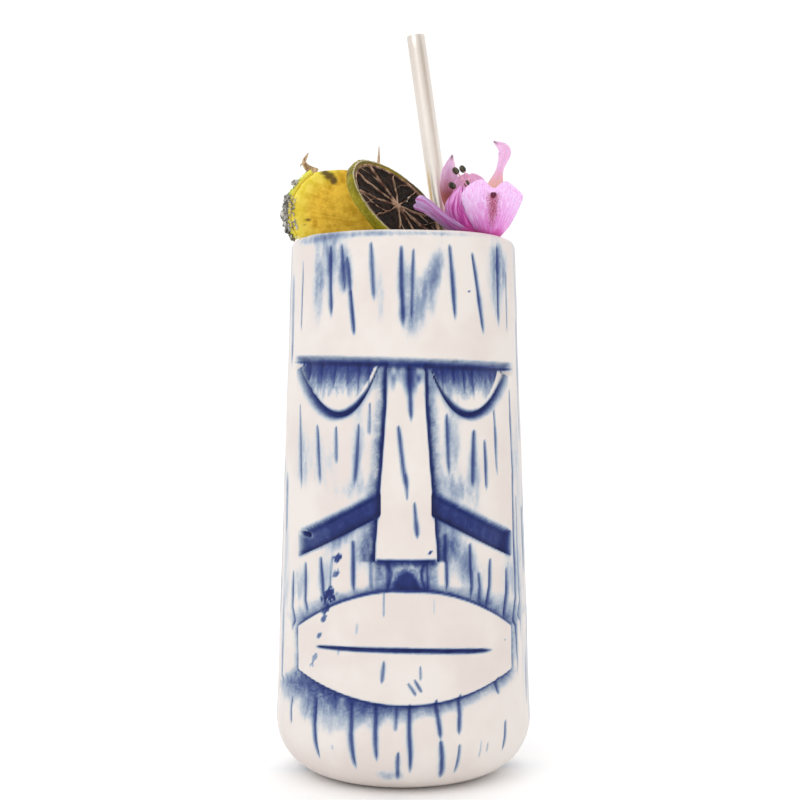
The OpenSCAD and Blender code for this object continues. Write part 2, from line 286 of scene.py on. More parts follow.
def carve_nose(r):
    x, z = r.across, r.height
    half = np.interp(z, [NOSE_FOOT, 76, 89, 98, 118, NOSE_TOP], [9.5, 9.2, 8.2, 7.4, 6.0, 5.8])
    out = np.abs(x) - half
    tall = band(NOSE_FOOT - 1.0, NOSE_FOOT - 0.2, NOSE_TOP - 1.4, NOSE_TOP + 0.2, z) * r.front
    reach = 4.2 + 0.8 * value_noise(z / 6, x * 0, 3) + 1.2 * rise(84, 78, z)
    fall = np.clip(1 - out / reach, 0, 1) ** 1.2
    channel = np.where(out > 0, fall, 1.0) * (out > -1.2) * tall
    r.cut(channel * rise(-0.3, 0.5, out), 2.6, 0.0)
    mottle = 0.6 * value_noise(x / 1.2, z / 2, 8) + 0.4 * value_noise(x / 0.5, z / 0.5, 7)
    r.wash(np.clip(channel * rise(-0.1, 0.4, out) * (0.2 + 0.95 * mottle), 0, 1), 0.9)
    r.wash(ridge(out - 0.5, 0.6) * tall, 0.93)
    top = 1.7 - 3.2 * np.clip((NOSE_TOP - z) / (NOSE_TOP - NOSE_FOOT), 0, 1) ** 0.8
    nose = (1 - rise(-0.7, 0.35, out)) * tall
    r.depth = r.depth * (1 - nose) + top * nose
    patchy = 0.4 + 0.9 * value_noise(x / 1.3, z / 2.5, 9)
    r.wash(np.clip(nose * rise(119, 129.5, z + 2.5 * (patchy - 0.8)) * patchy, 0, 1), 0.6)
    r.wash(r.patch(2.0, 126, 2.0, 5.5, 0) * nose, 0.6)
    lip = NOSE_FOOT - z
    under = band(0.0, 0.8, 7.5, 9.8, lip) * (1 - rise(8.6, 10.4, np.abs(x))) * r.front
    r.cut(under, 2.1 - 0.14 * np.clip(lip, 0, 9), 0.0)
    hollow = np.hypot(x / 4.0, (z - 61.5) / 6.2)
    grain = value_noise(x / 0.7, z / 0.7, 21) - 0.5
    panel = 0.42 + 0.75 * (1 - rise(0.7, 1.2, hollow)) + 0.4 * ridge(lip - 1.0, 0.9)
    # The thin lighter ring round the dark middle of the panel is a painted highlight.
    panel = panel - 0.14 * ridge(hollow - 1.3, 0.1) + 0.3 * grain
    r.wash(under * np.clip(panel, 0, 1), 0.9)
    # A dark line of stain along the nose's foot is a painted shadow under the nose.
    shadow_under_nose = ridge(lip - 0.25, 0.5) * (1 - rise(8.4, 9.4, np.abs(x))) * r.front
    r.wash(shadow_under_nose, 0.85)
    for way in (-1, 1):
        place = way * (6.3 - 1.5 * np.sin(np.pi * np.clip(lip / 9.5, 0, 1)))
        rib = ridge(x - place, 0.5) * under
        r.depth = r.depth + 0.4 * rib
        r.wash(rib, 0.75)


def carve_cheek_bars(r):
    x, z = r.across, r.height
    for way in (-1, 1):
        along = (x * way - BAR_START) / (BAR_END - BAR_START)
        middle = BAR_HIGH + (BAR_LOW - BAR_HIGH) * along
        side = (z - middle) / math.hypot(1, (BAR_LOW - BAR_HIGH) / (BAR_END - BAR_START))
        ends = band(-0.02, 0.0, 0.97, 1.025, along) * r.front
        bar = band(-BAR_HALF - 0.3, -BAR_HALF + 0.35, BAR_HALF - 1.1, BAR_HALF + 0.4, side) * ends
        r.cut(bar, 2.35 - 0.18 * side, 0.0)
        floor = 0.8 + 0.12 * (value_noise(x / 0.8, z / 0.8, 14) - 0.5)
        floor = floor - 0.1 * rise(0.7, 1.0, along) * (way < 0)
        r.wash(bar * floor, 0.98)
        low_edge = ridge(side + BAR_HALF - 0.55, 0.6) * ends
        top_edge = ridge(side - BAR_HALF + 0.75, 0.6) * ends
        r.wash(np.clip(low_edge + 0.6 * top_edge, 0, 1), 0.97)
        soft = ridge(np.abs(side) - BAR_HALF, 0.9) * ends
        r.wash(soft * (np.abs(side) > BAR_HALF - 0.2), 0.35)
        last = ridge(along - 0.985, 0.03) * (np.abs(side) < BAR_HALF + 0.3) * r.front
        r.wash(last, 0.75 if way > 0 else 0.25)
    hole = np.hypot(x + 31.3, z - 77.2)
    r.cut((1 - rise(0.4, 1.1, hole)) * r.front, 3.2, 0.0)
    # A thin ring round the pinhole has stain taken off: a painted highlight on its rim.
    r.stain = r.stain - 0.3 * ridge(hole - 1.25, 0.3) * r.front
    r.wash((1 - rise(0.6, 1.0, hole)) * r.front, 1.0)


def carve_lips(r):
    x, z = r.across, r.height
    above = np.hypot(x, z - (UPPER_LIP - UPPER_CURVE)) - UPPER_CURVE
    below = np.hypot(x, z - (LOWER_LIP + LOWER_CURVE)) - LOWER_CURVE
    beside = np.abs(x) - LIPS_HALF
    gap = np.maximum(np.maximum(above, below), beside)
    under = rise(-1.5, 3.0, below - np.maximum(above, beside))
    upper = rise(-1.0, 1.0, above - beside) * (1 - under)
    left = rise(10, -28, x)
    reach = 1.9 + under * (2.6 + 7.5 * left) + upper * (1.4 + 3.6 * rise(12, 30, x) + 1.6 * rise(-16, -30, x))
    out = rise(-0.15, 0.55, gap) * r.front
    fall = np.clip(1 - gap / reach, 0, 1)
    r.cut(out * fall ** 0.9, 1.5 + 0.2 * under, 0.0)
    ragged = 0.5 + 0.6 * value_noise(x / 2.2, z / 2.6, 31) + 0.45 * value_noise(x / 0.5, z / 0.5, 32)
    r.wash(out * np.clip(fall ** 1.1 * ragged, 0, 1), 0.55 + 0.3 * under * left)
    r.wash(ridge(gap - 0.35, 0.5) * r.front, 0.72 - 0.25 * (1 - under - upper))
    dark = ridge(x - 1.6, 5.2) * ridge(gap - 0.5, 0.9) * (z > 50) * r.front
    r.wash(dark, 0.95)
    plate = (1 - rise(-1.4, 0.1, gap)) * r.front
    r.depth = r.depth * (1 - plate) - 0.25 * plate
    t = np.clip((x - MOUTH_LEFT) / MOUTH_LENGTH, 0, 1)
    middle = MOUTH_HEIGHT - 1.3 * t + 1.05 * np.sin(np.pi * t)
    half = 0.3 + 0.4 * np.sin(np.pi * t) ** 0.6 + 0.12 * band(0.6, 0.85, 0.9, 1, t)
    mouth = ridge(z - middle, half) * band(0, 0.03, 0.93, 1, t) * r.front
    r.depth = r.depth + 1.5 * mouth
    r.wash(np.clip(1.15 * mouth, 0, 1), 0.98)


def carve_bark(r):
    for top_angle, top, foot_angle, foot, width, strength in BARK:
        near = r.stroke((top_angle, top), (foot_angle, foot), width)
        r.depth = r.depth + 0.5 * strength * near
        r.wash(near, strength * 0.72)
        r.wash(r.stroke((top_angle, top), (foot_angle, foot), width * 2.6), strength * 0.17)
    draw = np.random.default_rng(40)
    # Round the back, angles run on past 180 degrees, so that no stroke breaks there.
    keep, r.angle = r.angle, np.where(r.angle < -60, r.angle + 360, r.angle)
    for column in range(34):
        angle = 74 + column * 6.4 + draw.uniform(-2, 2)
        top = 167 - draw.uniform(0, 30)
        while top > 14:
            foot = max(top - draw.uniform(14, 46), 5)
            strength = draw.uniform(0.3, 0.85)
            end = (angle + draw.uniform(-2.5, 2.5), foot)
            near = r.stroke((angle, top), end, draw.uniform(1.9, 3.2), 0.8)
            r.depth = r.depth + 0.5 * strength * near
            r.wash(near, strength * 0.8)
            top = foot - draw.uniform(4, 30)
    r.angle = keep
    back = rise(62, 84, np.abs(r.angle))
    cloud = value_noise(r.angle / 7 + 30, r.height / 34, 17)
    cloud = cloud * value_noise(r.angle / 3 + 64, r.height / 16, 18)
    r.wash(back * rise(0.2, 0.7, cloud), 0.3)
    edge = band(58, 70, 82, 96, np.abs(r.angle))
    streaks = value_noise(r.angle / 1.6 + 40, r.height / 30, 44)
    streaks = streaks * (0.5 + value_noise(r.angle / 5, r.height / 14, 45))
    r.wash(edge * rise(0.15, 0.8, streaks), 0.07)


def carve_smears(r):
    side = np.radians(r.angle) * r.radius
    broken = 0.3 + 0.8 * value_noise(side / 1.1, r.height / 5, 25)
    broken = broken + 0.5 * value_noise(side / 0.5, r.height, 27)
    for *patch, strength in SMEARS:
        r.wash(np.clip(r.patch(*patch) * broken, 0, 1), strength)
    broken = 0.3 + 1.4 * value_noise(side / 0.55, r.height / 0.8, 26)
    for angle, height, half_across, half_up, strength in DABS:
        spot = rise(0.3, 0.75, r.patch(angle, height, half_across * 1.3, half_up * 1.3, 0.5) * broken)
        r.depth = r.depth + 0.3 * spot * strength
        r.wash(spot, strength * 0.9)


FACE_SIDE = 68


def column_angles():
    """Angles round the mug: close together over the face, wider apart round the back."""
    face = np.linspace(-FACE_SIDE, FACE_SIDE, 176)
    below_mouth = np.linspace(0.4, 7.6, 14)
    back = np.linspace(FACE_SIDE, 360 - FACE_SIDE, 92)[1:-1]
    return np.concatenate([face[face < 0], below_mouth, face[face > 8], back])


def linked(name, data):
    """A new object in the scene."""
    made = bpy.data.objects.new(name, data)
    bpy.context.scene.collection.objects.link(made)
    return made


def mesh_object(name, points, faces, body):
    """A smooth-shaded mesh from points in mm, riding on a body."""
    mesh = bpy.data.meshes.new(name)
    mesh.from_pydata((np.asarray(points) * MM).tolist(), [], faces)
    mesh.validate()
    for polygon in mesh.polygons:
        polygon.use_smooth = True
    made = linked(name, mesh)
    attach(made, body)
    return made


def grid_faces(rows, columns, looped=False):
    """Quads between rows that are each a ring of columns. Looped rows run back to the first one."""
    return [
        (i * columns + j, i * columns + (j + 1) % columns,
         (i + 1) % rows * columns + (j + 1) % columns, (i + 1) % rows * columns + j)
        for i in range(rows if looped else rows - 1) for j in range(columns)
    ]


def domed_faces(rows, columns):
    """Faces of a grid that is closed by two points after it, one past its first row and one past its last."""
    last = (rows - 1) * columns
    start, stop = rows * columns, rows * columns + 1
    return (
        grid_faces(rows, columns) + [(start, (j + 1) % columns, j) for j in range(columns)]
        + [(stop, last + j, last + (j + 1) % columns) for j in range(columns)]
    )


def bar_faces(rows, columns):
    """Faces of a grid that is closed by a flat face at each end."""
    last = (rows - 1) * columns
    return grid_faces(rows, columns) + [tuple(reversed(range(columns))), tuple(range(last, last + columns))]


def turns_of(count):
    """Angles that go once round a circle."""
    return np.linspace(0, 2 * math.pi, count, endpoint=False)


def paint_points(made, name, values):
    """Stores one number per vertex, which a material can read."""
    layer = made.data.attributes.new(name, "FLOAT", "POINT")
    layer.data.foreach_set("value", np.asarray(values, dtype=np.float32).ravel())


def build_mug():
    points, facing, outside = mug_profile()
    angles = column_angles()
    radius = np.repeat(points[:, :1], len(angles), 1)
    height = np.repeat(points[:, 1:], len(angles), 1)
    angle = np.repeat(((angles + 180) % 360 - 180)[None, :], len(points), 0)
    relief = Relief(angle, radius, height)
    for carve in (carve_lips, carve_nose, carve_cheek_bars, carve_brow_and_eyes, carve_bark, carve_smears):
        carve(relief)
    above_foot = outside[:, None] * rise(1.0, 6.0, height)
    on_wall = above_foot * (1 - 0.9 * rise(MUG_HEIGHT - 4, MUG_HEIGHT - 1, height))
    hand = 0.22 * (value_noise(angle / 14 + 13, height / 17, 2) - 0.5)
    depth = np.clip(relief.depth, -2, 3.6) * on_wall + hand * above_foot
    r = radius - depth * facing[:, :1]
    z = height - depth * facing[:, 1:]
    turn = np.radians(angle)
    rings = np.stack([r * np.sin(turn), -r * np.cos(turn), z], 2).reshape(-1, 3)
    rings = np.concatenate([rings, [[0, 0, 0], [0, 0, WALL]]])
    made = mesh_object("mug_body", rings, domed_faces(len(points), len(angles)), "mug")
    stain = np.clip(relief.stain, 0, 1) * outside[:, None]
    paint_points(made, "stain", np.append(stain.ravel(), [0, 0]))
    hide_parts("mug_shell")
    return made


class Wire:
    """A socket of a shader node that Python's own operators work on."""

    def __init__(self, paint, socket):
        self.paint = paint
        self.socket = socket

    def maths(self, operation, *values):
        return self.paint.add("Math", {"operation": operation}, dict(enumerate(values)))

    def __add__(self, other):
        return self.maths("ADD", self, other)

    __radd__ = __add__

    def __mul__(self, other):
        return self.maths("MULTIPLY", self, other)

    __rmul__ = __mul__

    def __sub__(self, other):
        return self.maths("SUBTRACT", self, other)

    def __rsub__(self, other):
        return self.maths("SUBTRACT", other, self)

    def above(self, low, high):
        """0 below low and 1 above high."""
        settings = {"interpolation_type": "SMOOTHSTEP"}
        return self.paint.add("MapRange", settings, {0: self, 1: low, 2: high})


class Paint:
    """A material whose Principled shader is fed by nodes."""

    def __init__(self, name, **fixed):
        self.material = bpy.data.materials.new(name)
        self.material.use_nodes = True
        self.tree = self.material.node_tree
        self.shader = self.tree.nodes["Principled BSDF"]
        for socket, value in fixed.items():
            self.shader.inputs[socket.replace("_", " ")].default_value = value

    def add(self, kind, settings, sockets, out=0):
        """A node of this kind: its settings come first, then the values or links of its sockets."""
        node = self.tree.nodes.new("ShaderNode" + kind)
        for name, value in settings.items():
            if name == "stops":
                ramp = node.color_ramp
                while len(ramp.elements) < len(value):
                    ramp.elements.new(0.5)
                for element, (place, colour) in zip(ramp.elements, value):
                    element.position = place
                    element.color = (*colour, 1)
            else:
                setattr(node, name, value)
        for name, value in sockets.items():
            if isinstance(value, Wire):
                self.tree.links.new(value.socket, node.inputs[name])
            else:
                node.inputs[name].default_value = value
        return Wire(self, node.outputs[out])

    def place(self):
        """Where a point of the object is, in metres."""
        return self.add("TexCoord", {}, {}, "Object")

    def read(self, name):
        return self.add("Attribute", {"attribute_name": name}, {}, "Fac")

    def noise(self, scale, detail=3.0, roughness=0.55, vector=None):
        where = vector or self.place()
        sockets = {"Vector": where, "Scale": scale, "Detail": detail, "Roughness": roughness}
        return self.add("TexNoise", {}, sockets)

    def mapped_noise(self, scale, detail, across, along=None):
        """Noise along a number stored on the mesh, or over two of them."""
        sockets = {"Scale": scale, "Detail": detail}
        if along is None:
            return self.add("TexNoise", {"noise_dimensions": "1D"}, {"W": across, **sockets})
        flat = self.add("CombineXYZ", {}, {0: across, 1: along})
        return self.add("TexNoise", {"noise_dimensions": "2D"}, {"Vector": flat, **sockets})

    def stretched(self, x, y, z):
        """The place, scaled by axis, so that a texture runs long where the factor is small."""
        return self.add("VectorMath", {"operation": "MULTIPLY"}, {0: self.place(), 1: (x, y, z)})

    def ramp(self, factor, stops):
        return self.add("ValToRGB", {"stops": stops}, {"Fac": factor})

    def mix(self, first, second, factor):
        sockets = {0: factor, 6: first, 7: second}
        return self.add("Mix", {"data_type": "RGBA"}, sockets, 2)

    def bump(self, height, distance, strength=1.0):
        sockets = {"Height": height, "Distance": distance, "Strength": strength}
        return self.add("Bump", {}, sockets)

    def feed(self, **links):
        """Links wires to the shader's sockets."""
        for name, wire in links.items():
            self.tree.links.new(wire.socket, self.shader.inputs[name.replace("_", " ")])

    def on(self, *pieces):
        for piece in pieces:
            piece.data.materials.clear()
            piece.data.materials.append(self.material)


def glaze():
    paint = Paint("satin_glaze", IOR=1.5, Specular_IOR_Level=0.22)
    fine = paint.noise(1400, 4)
    streak = paint.noise(420, 5, 0.6, paint.stretched(1.0, 1.0, 0.28))
    cloud = paint.noise(45, 3)
    stain = paint.read("stain") + (fine - 0.5) * 0.16 * paint.read("stain").above(0.03, 0.3)
    stain = stain + (streak - 0.5) * 0.34 * paint.read("stain").above(0.02, 0.25)
    warm = paint.mix((0.685, 0.61, 0.575, 1), (0.73, 0.675, 0.64, 1), cloud.above(0.35, 0.65))
    freckle = paint.noise(2600, 2).above(0.69, 0.76)
    white = paint.mix(warm, (0.74, 0.70, 0.70, 1), freckle * 0.35)
    blue = paint.ramp(stain, [
        (0.0, (0.70, 0.65, 0.62)), (0.14, (0.52, 0.55, 0.59)), (0.34, (0.25, 0.31, 0.42)),
        (0.56, (0.075, 0.11, 0.25)), (0.78, (0.016, 0.032, 0.165)), (1.0, (0.006, 0.011, 0.08)),
    ])
    colour = paint.mix(white, blue, stain.above(0.02, 0.2))
    paint.feed(Base_Color=colour, Roughness=0.34 + 0.14 * streak + 0.05 * fine)
    skin = paint.noise(260, 3) * 0.6 + paint.noise(1900, 3) * 0.25
    paint.feed(Normal=paint.bump(skin, 0.00022, 0.35))
    return paint


glaze().on(build_mug())

# ---------------------------------------------------------------------------------------------
# The crushed ice. Loose chips of clear and frosted ice, broken in a crusher and packed into the
# mouth of the mug, with room left where the straw, the wedge and the stalk are pushed in.
# ---------------------------------------------------------------------------------------------
ice_low, ice_high = in_mm(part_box("crushed_ice"))
straw_mount = next(m for m in frame["record"]["mounts"] if m["name"] == "straw_bore")
straw_top = np.array(straw_mount["pos_m"]) / MM
straw_axis = np.array(straw_mount["axis"])
wedge_low, wedge_high = in_mm(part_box("pineapple_flesh"))
stalk_low, stalk_high = in_mm(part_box("stalk"))
STRAW_RADIUS = 3.0
CHIP_SIZE = 3.5
CHIP_PITCH = 5.2
CHIP_ROOM = 0.5
CHIP_BEVEL = 0.22
# The room that is left for the wedge's straight insert and for the stalk.
INSERT_SIDES = (-24.0, -8.0)
INSERT_LEVELS = (150.0, 300.0)
STALK_ROOM = 2.8


def chip_is_clear(middle, size):
    """Whether a chip keeps off the mug's wall, the straw, the wedge and the stalk."""
    if math.hypot(middle[0], middle[1]) + size > ice_high[0] - 0.1:
        return False
    from_top = middle - straw_top
    if np.linalg.norm(from_top - straw_axis * (from_top @ straw_axis)) < size + STRAW_RADIUS + CHIP_ROOM:
        return False
    insert_low = np.array([INSERT_SIDES[0], wedge_low[1], INSERT_LEVELS[0]])
    insert_high = np.array([INSERT_SIDES[1], wedge_high[1], INSERT_LEVELS[1]])
    out = np.maximum(np.maximum(insert_low - middle, middle - insert_high), 0)
    if np.linalg.norm(out) < size + CHIP_ROOM:
        return False
    stalk_middle = (stalk_low + stalk_high) / 2
    return math.hypot(*(middle - stalk_middle)[:2]) > size + STALK_ROOM + CHIP_ROOM


def from_bmesh(name, made, smooth=False):
    """An object with the faces of a bmesh, which is used up."""
    mesh = bpy.data.meshes.new(name)
    made.to_mesh(mesh)
    made.free()
    for polygon in mesh.polygons:
        polygon.use_smooth = smooth
    return linked(name, mesh)


def build_ice():
    draw = np.random.default_rng(7)
    made = bmesh.new()
    levels = np.arange(ice_low[2] + CHIP_SIZE, ice_high[2] - CHIP_SIZE + 0.1, CHIP_PITCH * 0.93)
    steps = np.arange(-30, 30.1, CHIP_PITCH)
    for level, z in enumerate(levels):
        for x in steps + 0.5 * CHIP_PITCH * (level % 2):
            for y in steps + 0.5 * CHIP_PITCH * (level % 2):
                middle = np.array([x, y, z]) + draw.uniform(-0.8, 0.8, 3)
                size = CHIP_SIZE * draw.uniform(0.72, 1.0)
                middle[2] = min(middle[2], ice_high[2] - size)
                corners = draw.normal(size=(11, 3))
                corners *= size / np.linalg.norm(corners, axis=1)[:, None] * draw.uniform(0.8, 1, (11, 1))
                if not chip_is_clear(middle, size):
                    continue
                points = [made.verts.new((middle + corner) * MM) for corner in corners]
                hull = bmesh.ops.convex_hull(made, input=points)
                loose = [v for v in hull["geom_interior"] if isinstance(v, bmesh.types.BMVert)]
                bmesh.ops.delete(made, geom=loose, context="VERTS")
    bmesh.ops.bevel(
        made, geom=made.edges[:], offset=CHIP_BEVEL * MM, segments=1, affect="EDGES", clamp_overlap=True,
    )
    chips = from_bmesh("ice_chips", made)
    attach(chips, "ice")
    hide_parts("crushed_ice")
    return chips


def ice_paint():
    paint = Paint("crushed_ice", Transmission_Weight=0.4, IOR=1.31)
    frost = paint.noise(220, 4).above(0.42, 0.62)
    colour = paint.mix((0.92, 0.95, 0.97, 1), (0.97, 0.98, 0.99, 1), frost)
    paint.feed(Base_Color=colour, Roughness=0.05 + 0.4 * frost)
    paint.feed(Normal=paint.bump(paint.noise(500, 3), 0.0003, 0.5))
    return paint


ice_paint().on(build_ice())

# ---------------------------------------------------------------------------------------------
# The straw. A length of drawn stainless tube, 6 mm across, cut square, with both ends rolled
# smooth and the outside brushed along its length to a satin finish.
# ---------------------------------------------------------------------------------------------
STRAW_LENGTH = straw_mount["dims"]["length_mm"]
STRAW_BORE = straw_mount["dims"]["r_mm"]


def frame_of(axis):
    """Two directions square to an axis, and the axis."""
    axis = axis / np.linalg.norm(axis)
    first = np.cross(axis, [0.0, 1.0, 0.0])
    first /= np.linalg.norm(first)
    return first, np.cross(axis, first), axis


def build_straw():
    end = (STRAW_RADIUS - STRAW_BORE) / 2
    middle = STRAW_RADIUS - end
    turn = np.linspace(0, math.pi, 7)
    upper = np.stack([middle + end * np.cos(turn), -end + end * np.sin(turn)], 1)
    lower = np.stack([middle - end * np.cos(turn), end - end * np.sin(turn) - STRAW_LENGTH], 1)
    down = np.linspace(upper[-1], lower[0], 40)[1:-1]
    up = np.linspace(lower[-1], upper[0], 40)[1:-1]
    section = np.concatenate([upper, down, lower, up])
    first, second, axis = frame_of(straw_axis)
    sides = 72
    turn = turns_of(sides)
    ring = np.cos(turn)[:, None] * first + np.sin(turn)[:, None] * second
    points = np.concatenate([straw_top + r * ring + z * axis for r, z in section])
    rows = len(section)
    faces = [(a, d, c, b) for a, b, c, d in grid_faces(rows, sides, looped=True)]
    straw = mesh_object("straw", points, faces, "straw")
    along = np.repeat(section[:, 1], sides)
    paint_points(straw, "around", np.tile(turn, rows) * 40 + along * 0.02)
    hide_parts("straw_tube")
    return straw


def satin_steel():
    paint = Paint("satin_steel", Metallic=1.0)
    lines = paint.mapped_noise(1.0, 3.0, paint.read("around"))
    cloud = paint.noise(60, 3, 0.5, paint.stretched(1, 1, 0.3))
    # The steel's warm beige tint is painted reflection of warm surroundings, varied by cloud between two
    # tones.
    colour = paint.mix((0.70, 0.63, 0.57, 1), (0.82, 0.77, 0.72, 1), cloud.above(0.3, 0.7))
    smudge = paint.noise(300, 4).above(0.5, 0.8)
    paint.feed(Base_Color=colour, Roughness=0.24 + 0.12 * lines + 0.08 * smudge)
    paint.feed(Normal=paint.bump(lines, 0.00003, 0.4))
    return paint


satin_steel().on(build_straw())

# ---------------------------------------------------------------------------------------------
# The pineapple wedge. A slice cut across a ripe fruit and then into a wedge: wet yellow flesh
# with fibres that run out from the core, a waxy green and yellow rind with dry grey eyes, and
# one curled spike. It is pushed into the ice with its rind over the lip.
# ---------------------------------------------------------------------------------------------
rind_low = in_mm(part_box("pineapple_rind"))[0]
RIND_RADIUS = 16.7
RIND_THICKNESS = 2.4
rind_middle = np.array([rind_low[0] + RIND_RADIUS, 179.8])
WEDGE_FRONT = wedge_low[1]
WEDGE_BACK = wedge_high[1]
WEDGE_TOP = wedge_high[2]
WEDGE_LEDGE = rind_low[2]
WEDGE_FOOT = wedge_low[2]
WEDGE_RIGHT = wedge_high[0]
INSERT_RIGHT = -8.05

# Brown hard eyes left in the flesh, as (x, z, half width, half height, strength).
EYES_IN_FLESH = [
    (-25.6, 192.9, 2.2, 1.5, 0.9), (-24.0, 191.8, 2.2, 1.8, 1.0), (-22.6, 190.4, 1.7, 1.8, 1.0),
    (-27.8, 193.8, 1.9, 1.2, 0.7),
    (-31.0, 177.4, 1.5, 0.8, 0.75), (-32.2, 175.8, 0.8, 0.7, 0.6), (-17.0, 193.6, 1.5, 0.8, 0.5),
]


def smooth_outline(corners, rounding, step):
    """A closed outline with rounded corners and a point every step."""
    corners = [np.array(c, float) for c in corners]
    points = []
    for before, here, after in zip([corners[-1]] + corners[:-1], corners, corners[1:] + corners[:1]):
        back, on = before - here, after - here
        trim = min(rounding, 0.45 * np.linalg.norm(back), 0.45 * np.linalg.norm(on))
        start = here + back / np.linalg.norm(back) * trim
        stop = here + on / np.linalg.norm(on) * trim
        for t in np.linspace(0, 1, 6):
            points.append((1 - t) ** 2 * start + 2 * t * (1 - t) * here + t * t * stop)
    points = np.array(points)
    closed = np.concatenate([points, points[:1]])
    length = np.concatenate([[0], np.cumsum(np.linalg.norm(np.diff(closed, axis=0), axis=1))])
    places = np.linspace(0, length[-1], max(int(length[-1] / step), 8), endpoint=False)
    return np.stack([np.interp(places, length, closed[:, k]) for k in (0, 1)], 1)


def pillow(outline, low, high, edge, rings, bumps):
    """A slab between two levels with soft edges. bumps(points) gives how far its faces stand out.

    Returns points as [outline x, outline y, level] and their faces."""
    middle = outline.mean(0)
    count = len(outline)
    inset = edge / np.linalg.norm(outline - middle, axis=1).mean()
    face = [(share * (1 - inset), 0.0) for share in np.linspace(0, 1, rings + 1)[1:-1]]
    quarter = np.linspace(0, math.pi / 2, 5)
    rim = [(1 - inset * (1 - math.sin(a)), edge * (1 - math.cos(a))) for a in quarter]
    outward = face + rim
    layers = []
    for sign, level, rings_in_order in ((-1, low, outward), (1, high, outward[::-1])):
        for share, drop in rings_in_order:
            flat = middle + (outline - middle) * share
            layers.append(np.column_stack([flat, np.full(count, level - sign * drop)]))
    points = np.concatenate([*layers, [[*middle, low], [*middle, high]]])
    side = np.where(points[:, 2] < (low + high) / 2, -1.0, 1.0)
    points[:, 2] += side * bumps(points)
    return points, domed_faces(len(layers), count)


def to_wedge(points):
    """Carries [x, z, y] of a slab drawn face on to the frame's own x, y and z."""
    return points[:, [0, 2, 1]]


def build_wedge_flesh():
    turn = np.radians(np.arange(118, 211, 7.5))
    inner = RIND_RADIUS - RIND_THICKNESS + 0.7
    arc = rind_middle + inner * np.stack([np.cos(turn), np.sin(turn)], 1)
    arc = arc[(arc[:, 1] > WEDGE_LEDGE + 0.8) & (arc[:, 1] < WEDGE_TOP - 0.6)]
    corners = [
        (INSERT_RIGHT, WEDGE_FOOT), (INSERT_RIGHT, WEDGE_LEDGE - 0.2), (WEDGE_RIGHT, WEDGE_LEDGE + 0.6),
        (WEDGE_RIGHT - 0.4, 182), (WEDGE_RIGHT - 1.3, WEDGE_TOP - 1.4), (-14, WEDGE_TOP - 0.9),
        (-20, WEDGE_TOP - 0.2), (-26, WEDGE_TOP - 0.6), *arc,
        (-34.3, WEDGE_LEDGE + 0.5), (-24.2, WEDGE_LEDGE + 0.2), (-23.6, 164), (-23.4, WEDGE_FOOT),
    ]
    outline = smooth_outline(corners, 1.2, 0.55)
    core = np.array([-6.0, 176.0])

    def bumps(points):
        out = points[:, :2] - core
        turn = np.degrees(np.arctan2(out[:, 1], out[:, 0])) % 360
        far = np.hypot(out[:, 0], out[:, 1])
        fibre = value_noise(turn / 3.2, far / 11, 51) - 0.5
        fine = value_noise(turn / 1.1, far / 5, 52) - 0.5
        pits = rise(0.66, 0.85, value_noise(points[:, 0] / 1.9, points[:, 1] / 1.9, 53))
        return 0.05 * fibre + 0.06 * fine - 0.2 * pits - 0.2

    points, faces = pillow(outline, WEDGE_FRONT, WEDGE_BACK, 0.9, 26, bumps)
    flesh = mesh_object("wedge_flesh", to_wedge(points), faces, "pineapple")
    from_rind = RIND_RADIUS - np.hypot(*(points[:, :2] - rind_middle).T)
    # The colour deepens away from the rind, and right of x = -13 mm, beside the lime wheel, the flesh takes
    # the deep colour as painted shadow of the wheel.
    skin = from_rind + 12 * rise(-25, -13, points[:, 0])
    out = points[:, :2] - core
    paint_points(flesh, "from_rind", np.clip(skin / 12, 0, 1))
    paint_points(flesh, "ray", np.degrees(np.arctan2(out[:, 1], out[:, 0])) % 360)
    stained = 0.45 * rise(WEDGE_TOP - 4.0, WEDGE_TOP - 0.6, points[:, 1])
    for x, z, half_across, half_up, strength in EYES_IN_FLESH:
        far = ((points[:, 0] - x) / half_across) ** 2 + ((points[:, 1] - z) / half_up) ** 2
        stained = np.maximum(stained, strength * np.exp(-far))
    paint_points(flesh, "stained", stained)
    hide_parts("pineapple_flesh")
    return flesh


def build_wedge_rind():
    """A strip bent round the wedge, with a swelling for each eye of the fruit."""
    start = math.degrees(math.pi - math.asin((WEDGE_TOP - rind_middle[1]) / RIND_RADIUS))
    stop = math.degrees(math.pi + math.asin((rind_middle[1] - WEDGE_LEDGE) / RIND_RADIUS))
    turns = np.radians(np.linspace(start, stop, 96))
    section = smooth_outline(
        [(0.05, WEDGE_FRONT), (RIND_THICKNESS, WEDGE_FRONT + 0.1), (RIND_THICKNESS, WEDGE_BACK - 0.1),
         (0.05, WEDGE_BACK)], 0.7, 0.42)
    count = len(section)
    depth, across = section[:, 0], section[:, 1]
    outer = rise(1.2, 2.2, depth)
    rows = []
    for turn in turns:
        cell = np.abs(np.sin(3.0 * turn * RIND_RADIUS / 6.0 + 0.4))
        cell = cell * np.abs(np.sin((across - WEDGE_FRONT) * 0.57))
        ragged = value_noise(np.full_like(across, turn * 18), across / 1.4, 61) - 0.5
        lift = outer * (0.7 * cell + 1.5 * ragged - 0.9)
        inner = RIND_RADIUS - RIND_THICKNESS
        r = inner + depth + np.minimum(lift, 0.0) + 0.25 * np.maximum(lift, 0)
        r = np.minimum(r, RIND_RADIUS + 0.3)
        x = rind_middle[0] + r * math.cos(turn)
        z = rind_middle[1] + r * np.sin(turn)
        rows.append(np.stack([x, across, z], 1))
    faces = [tuple(reversed(face)) for face in bar_faces(len(turns), count)]
    rind = mesh_object("wedge_rind", np.concatenate(rows), faces, "pineapple")
    paint_points(rind, "down", np.repeat(np.linspace(0, 1, len(turns)), count))
    paint_points(rind, "depth", np.tile(section[:, 0] / RIND_THICKNESS, len(turns)))
    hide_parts("pineapple_rind")
    return rind


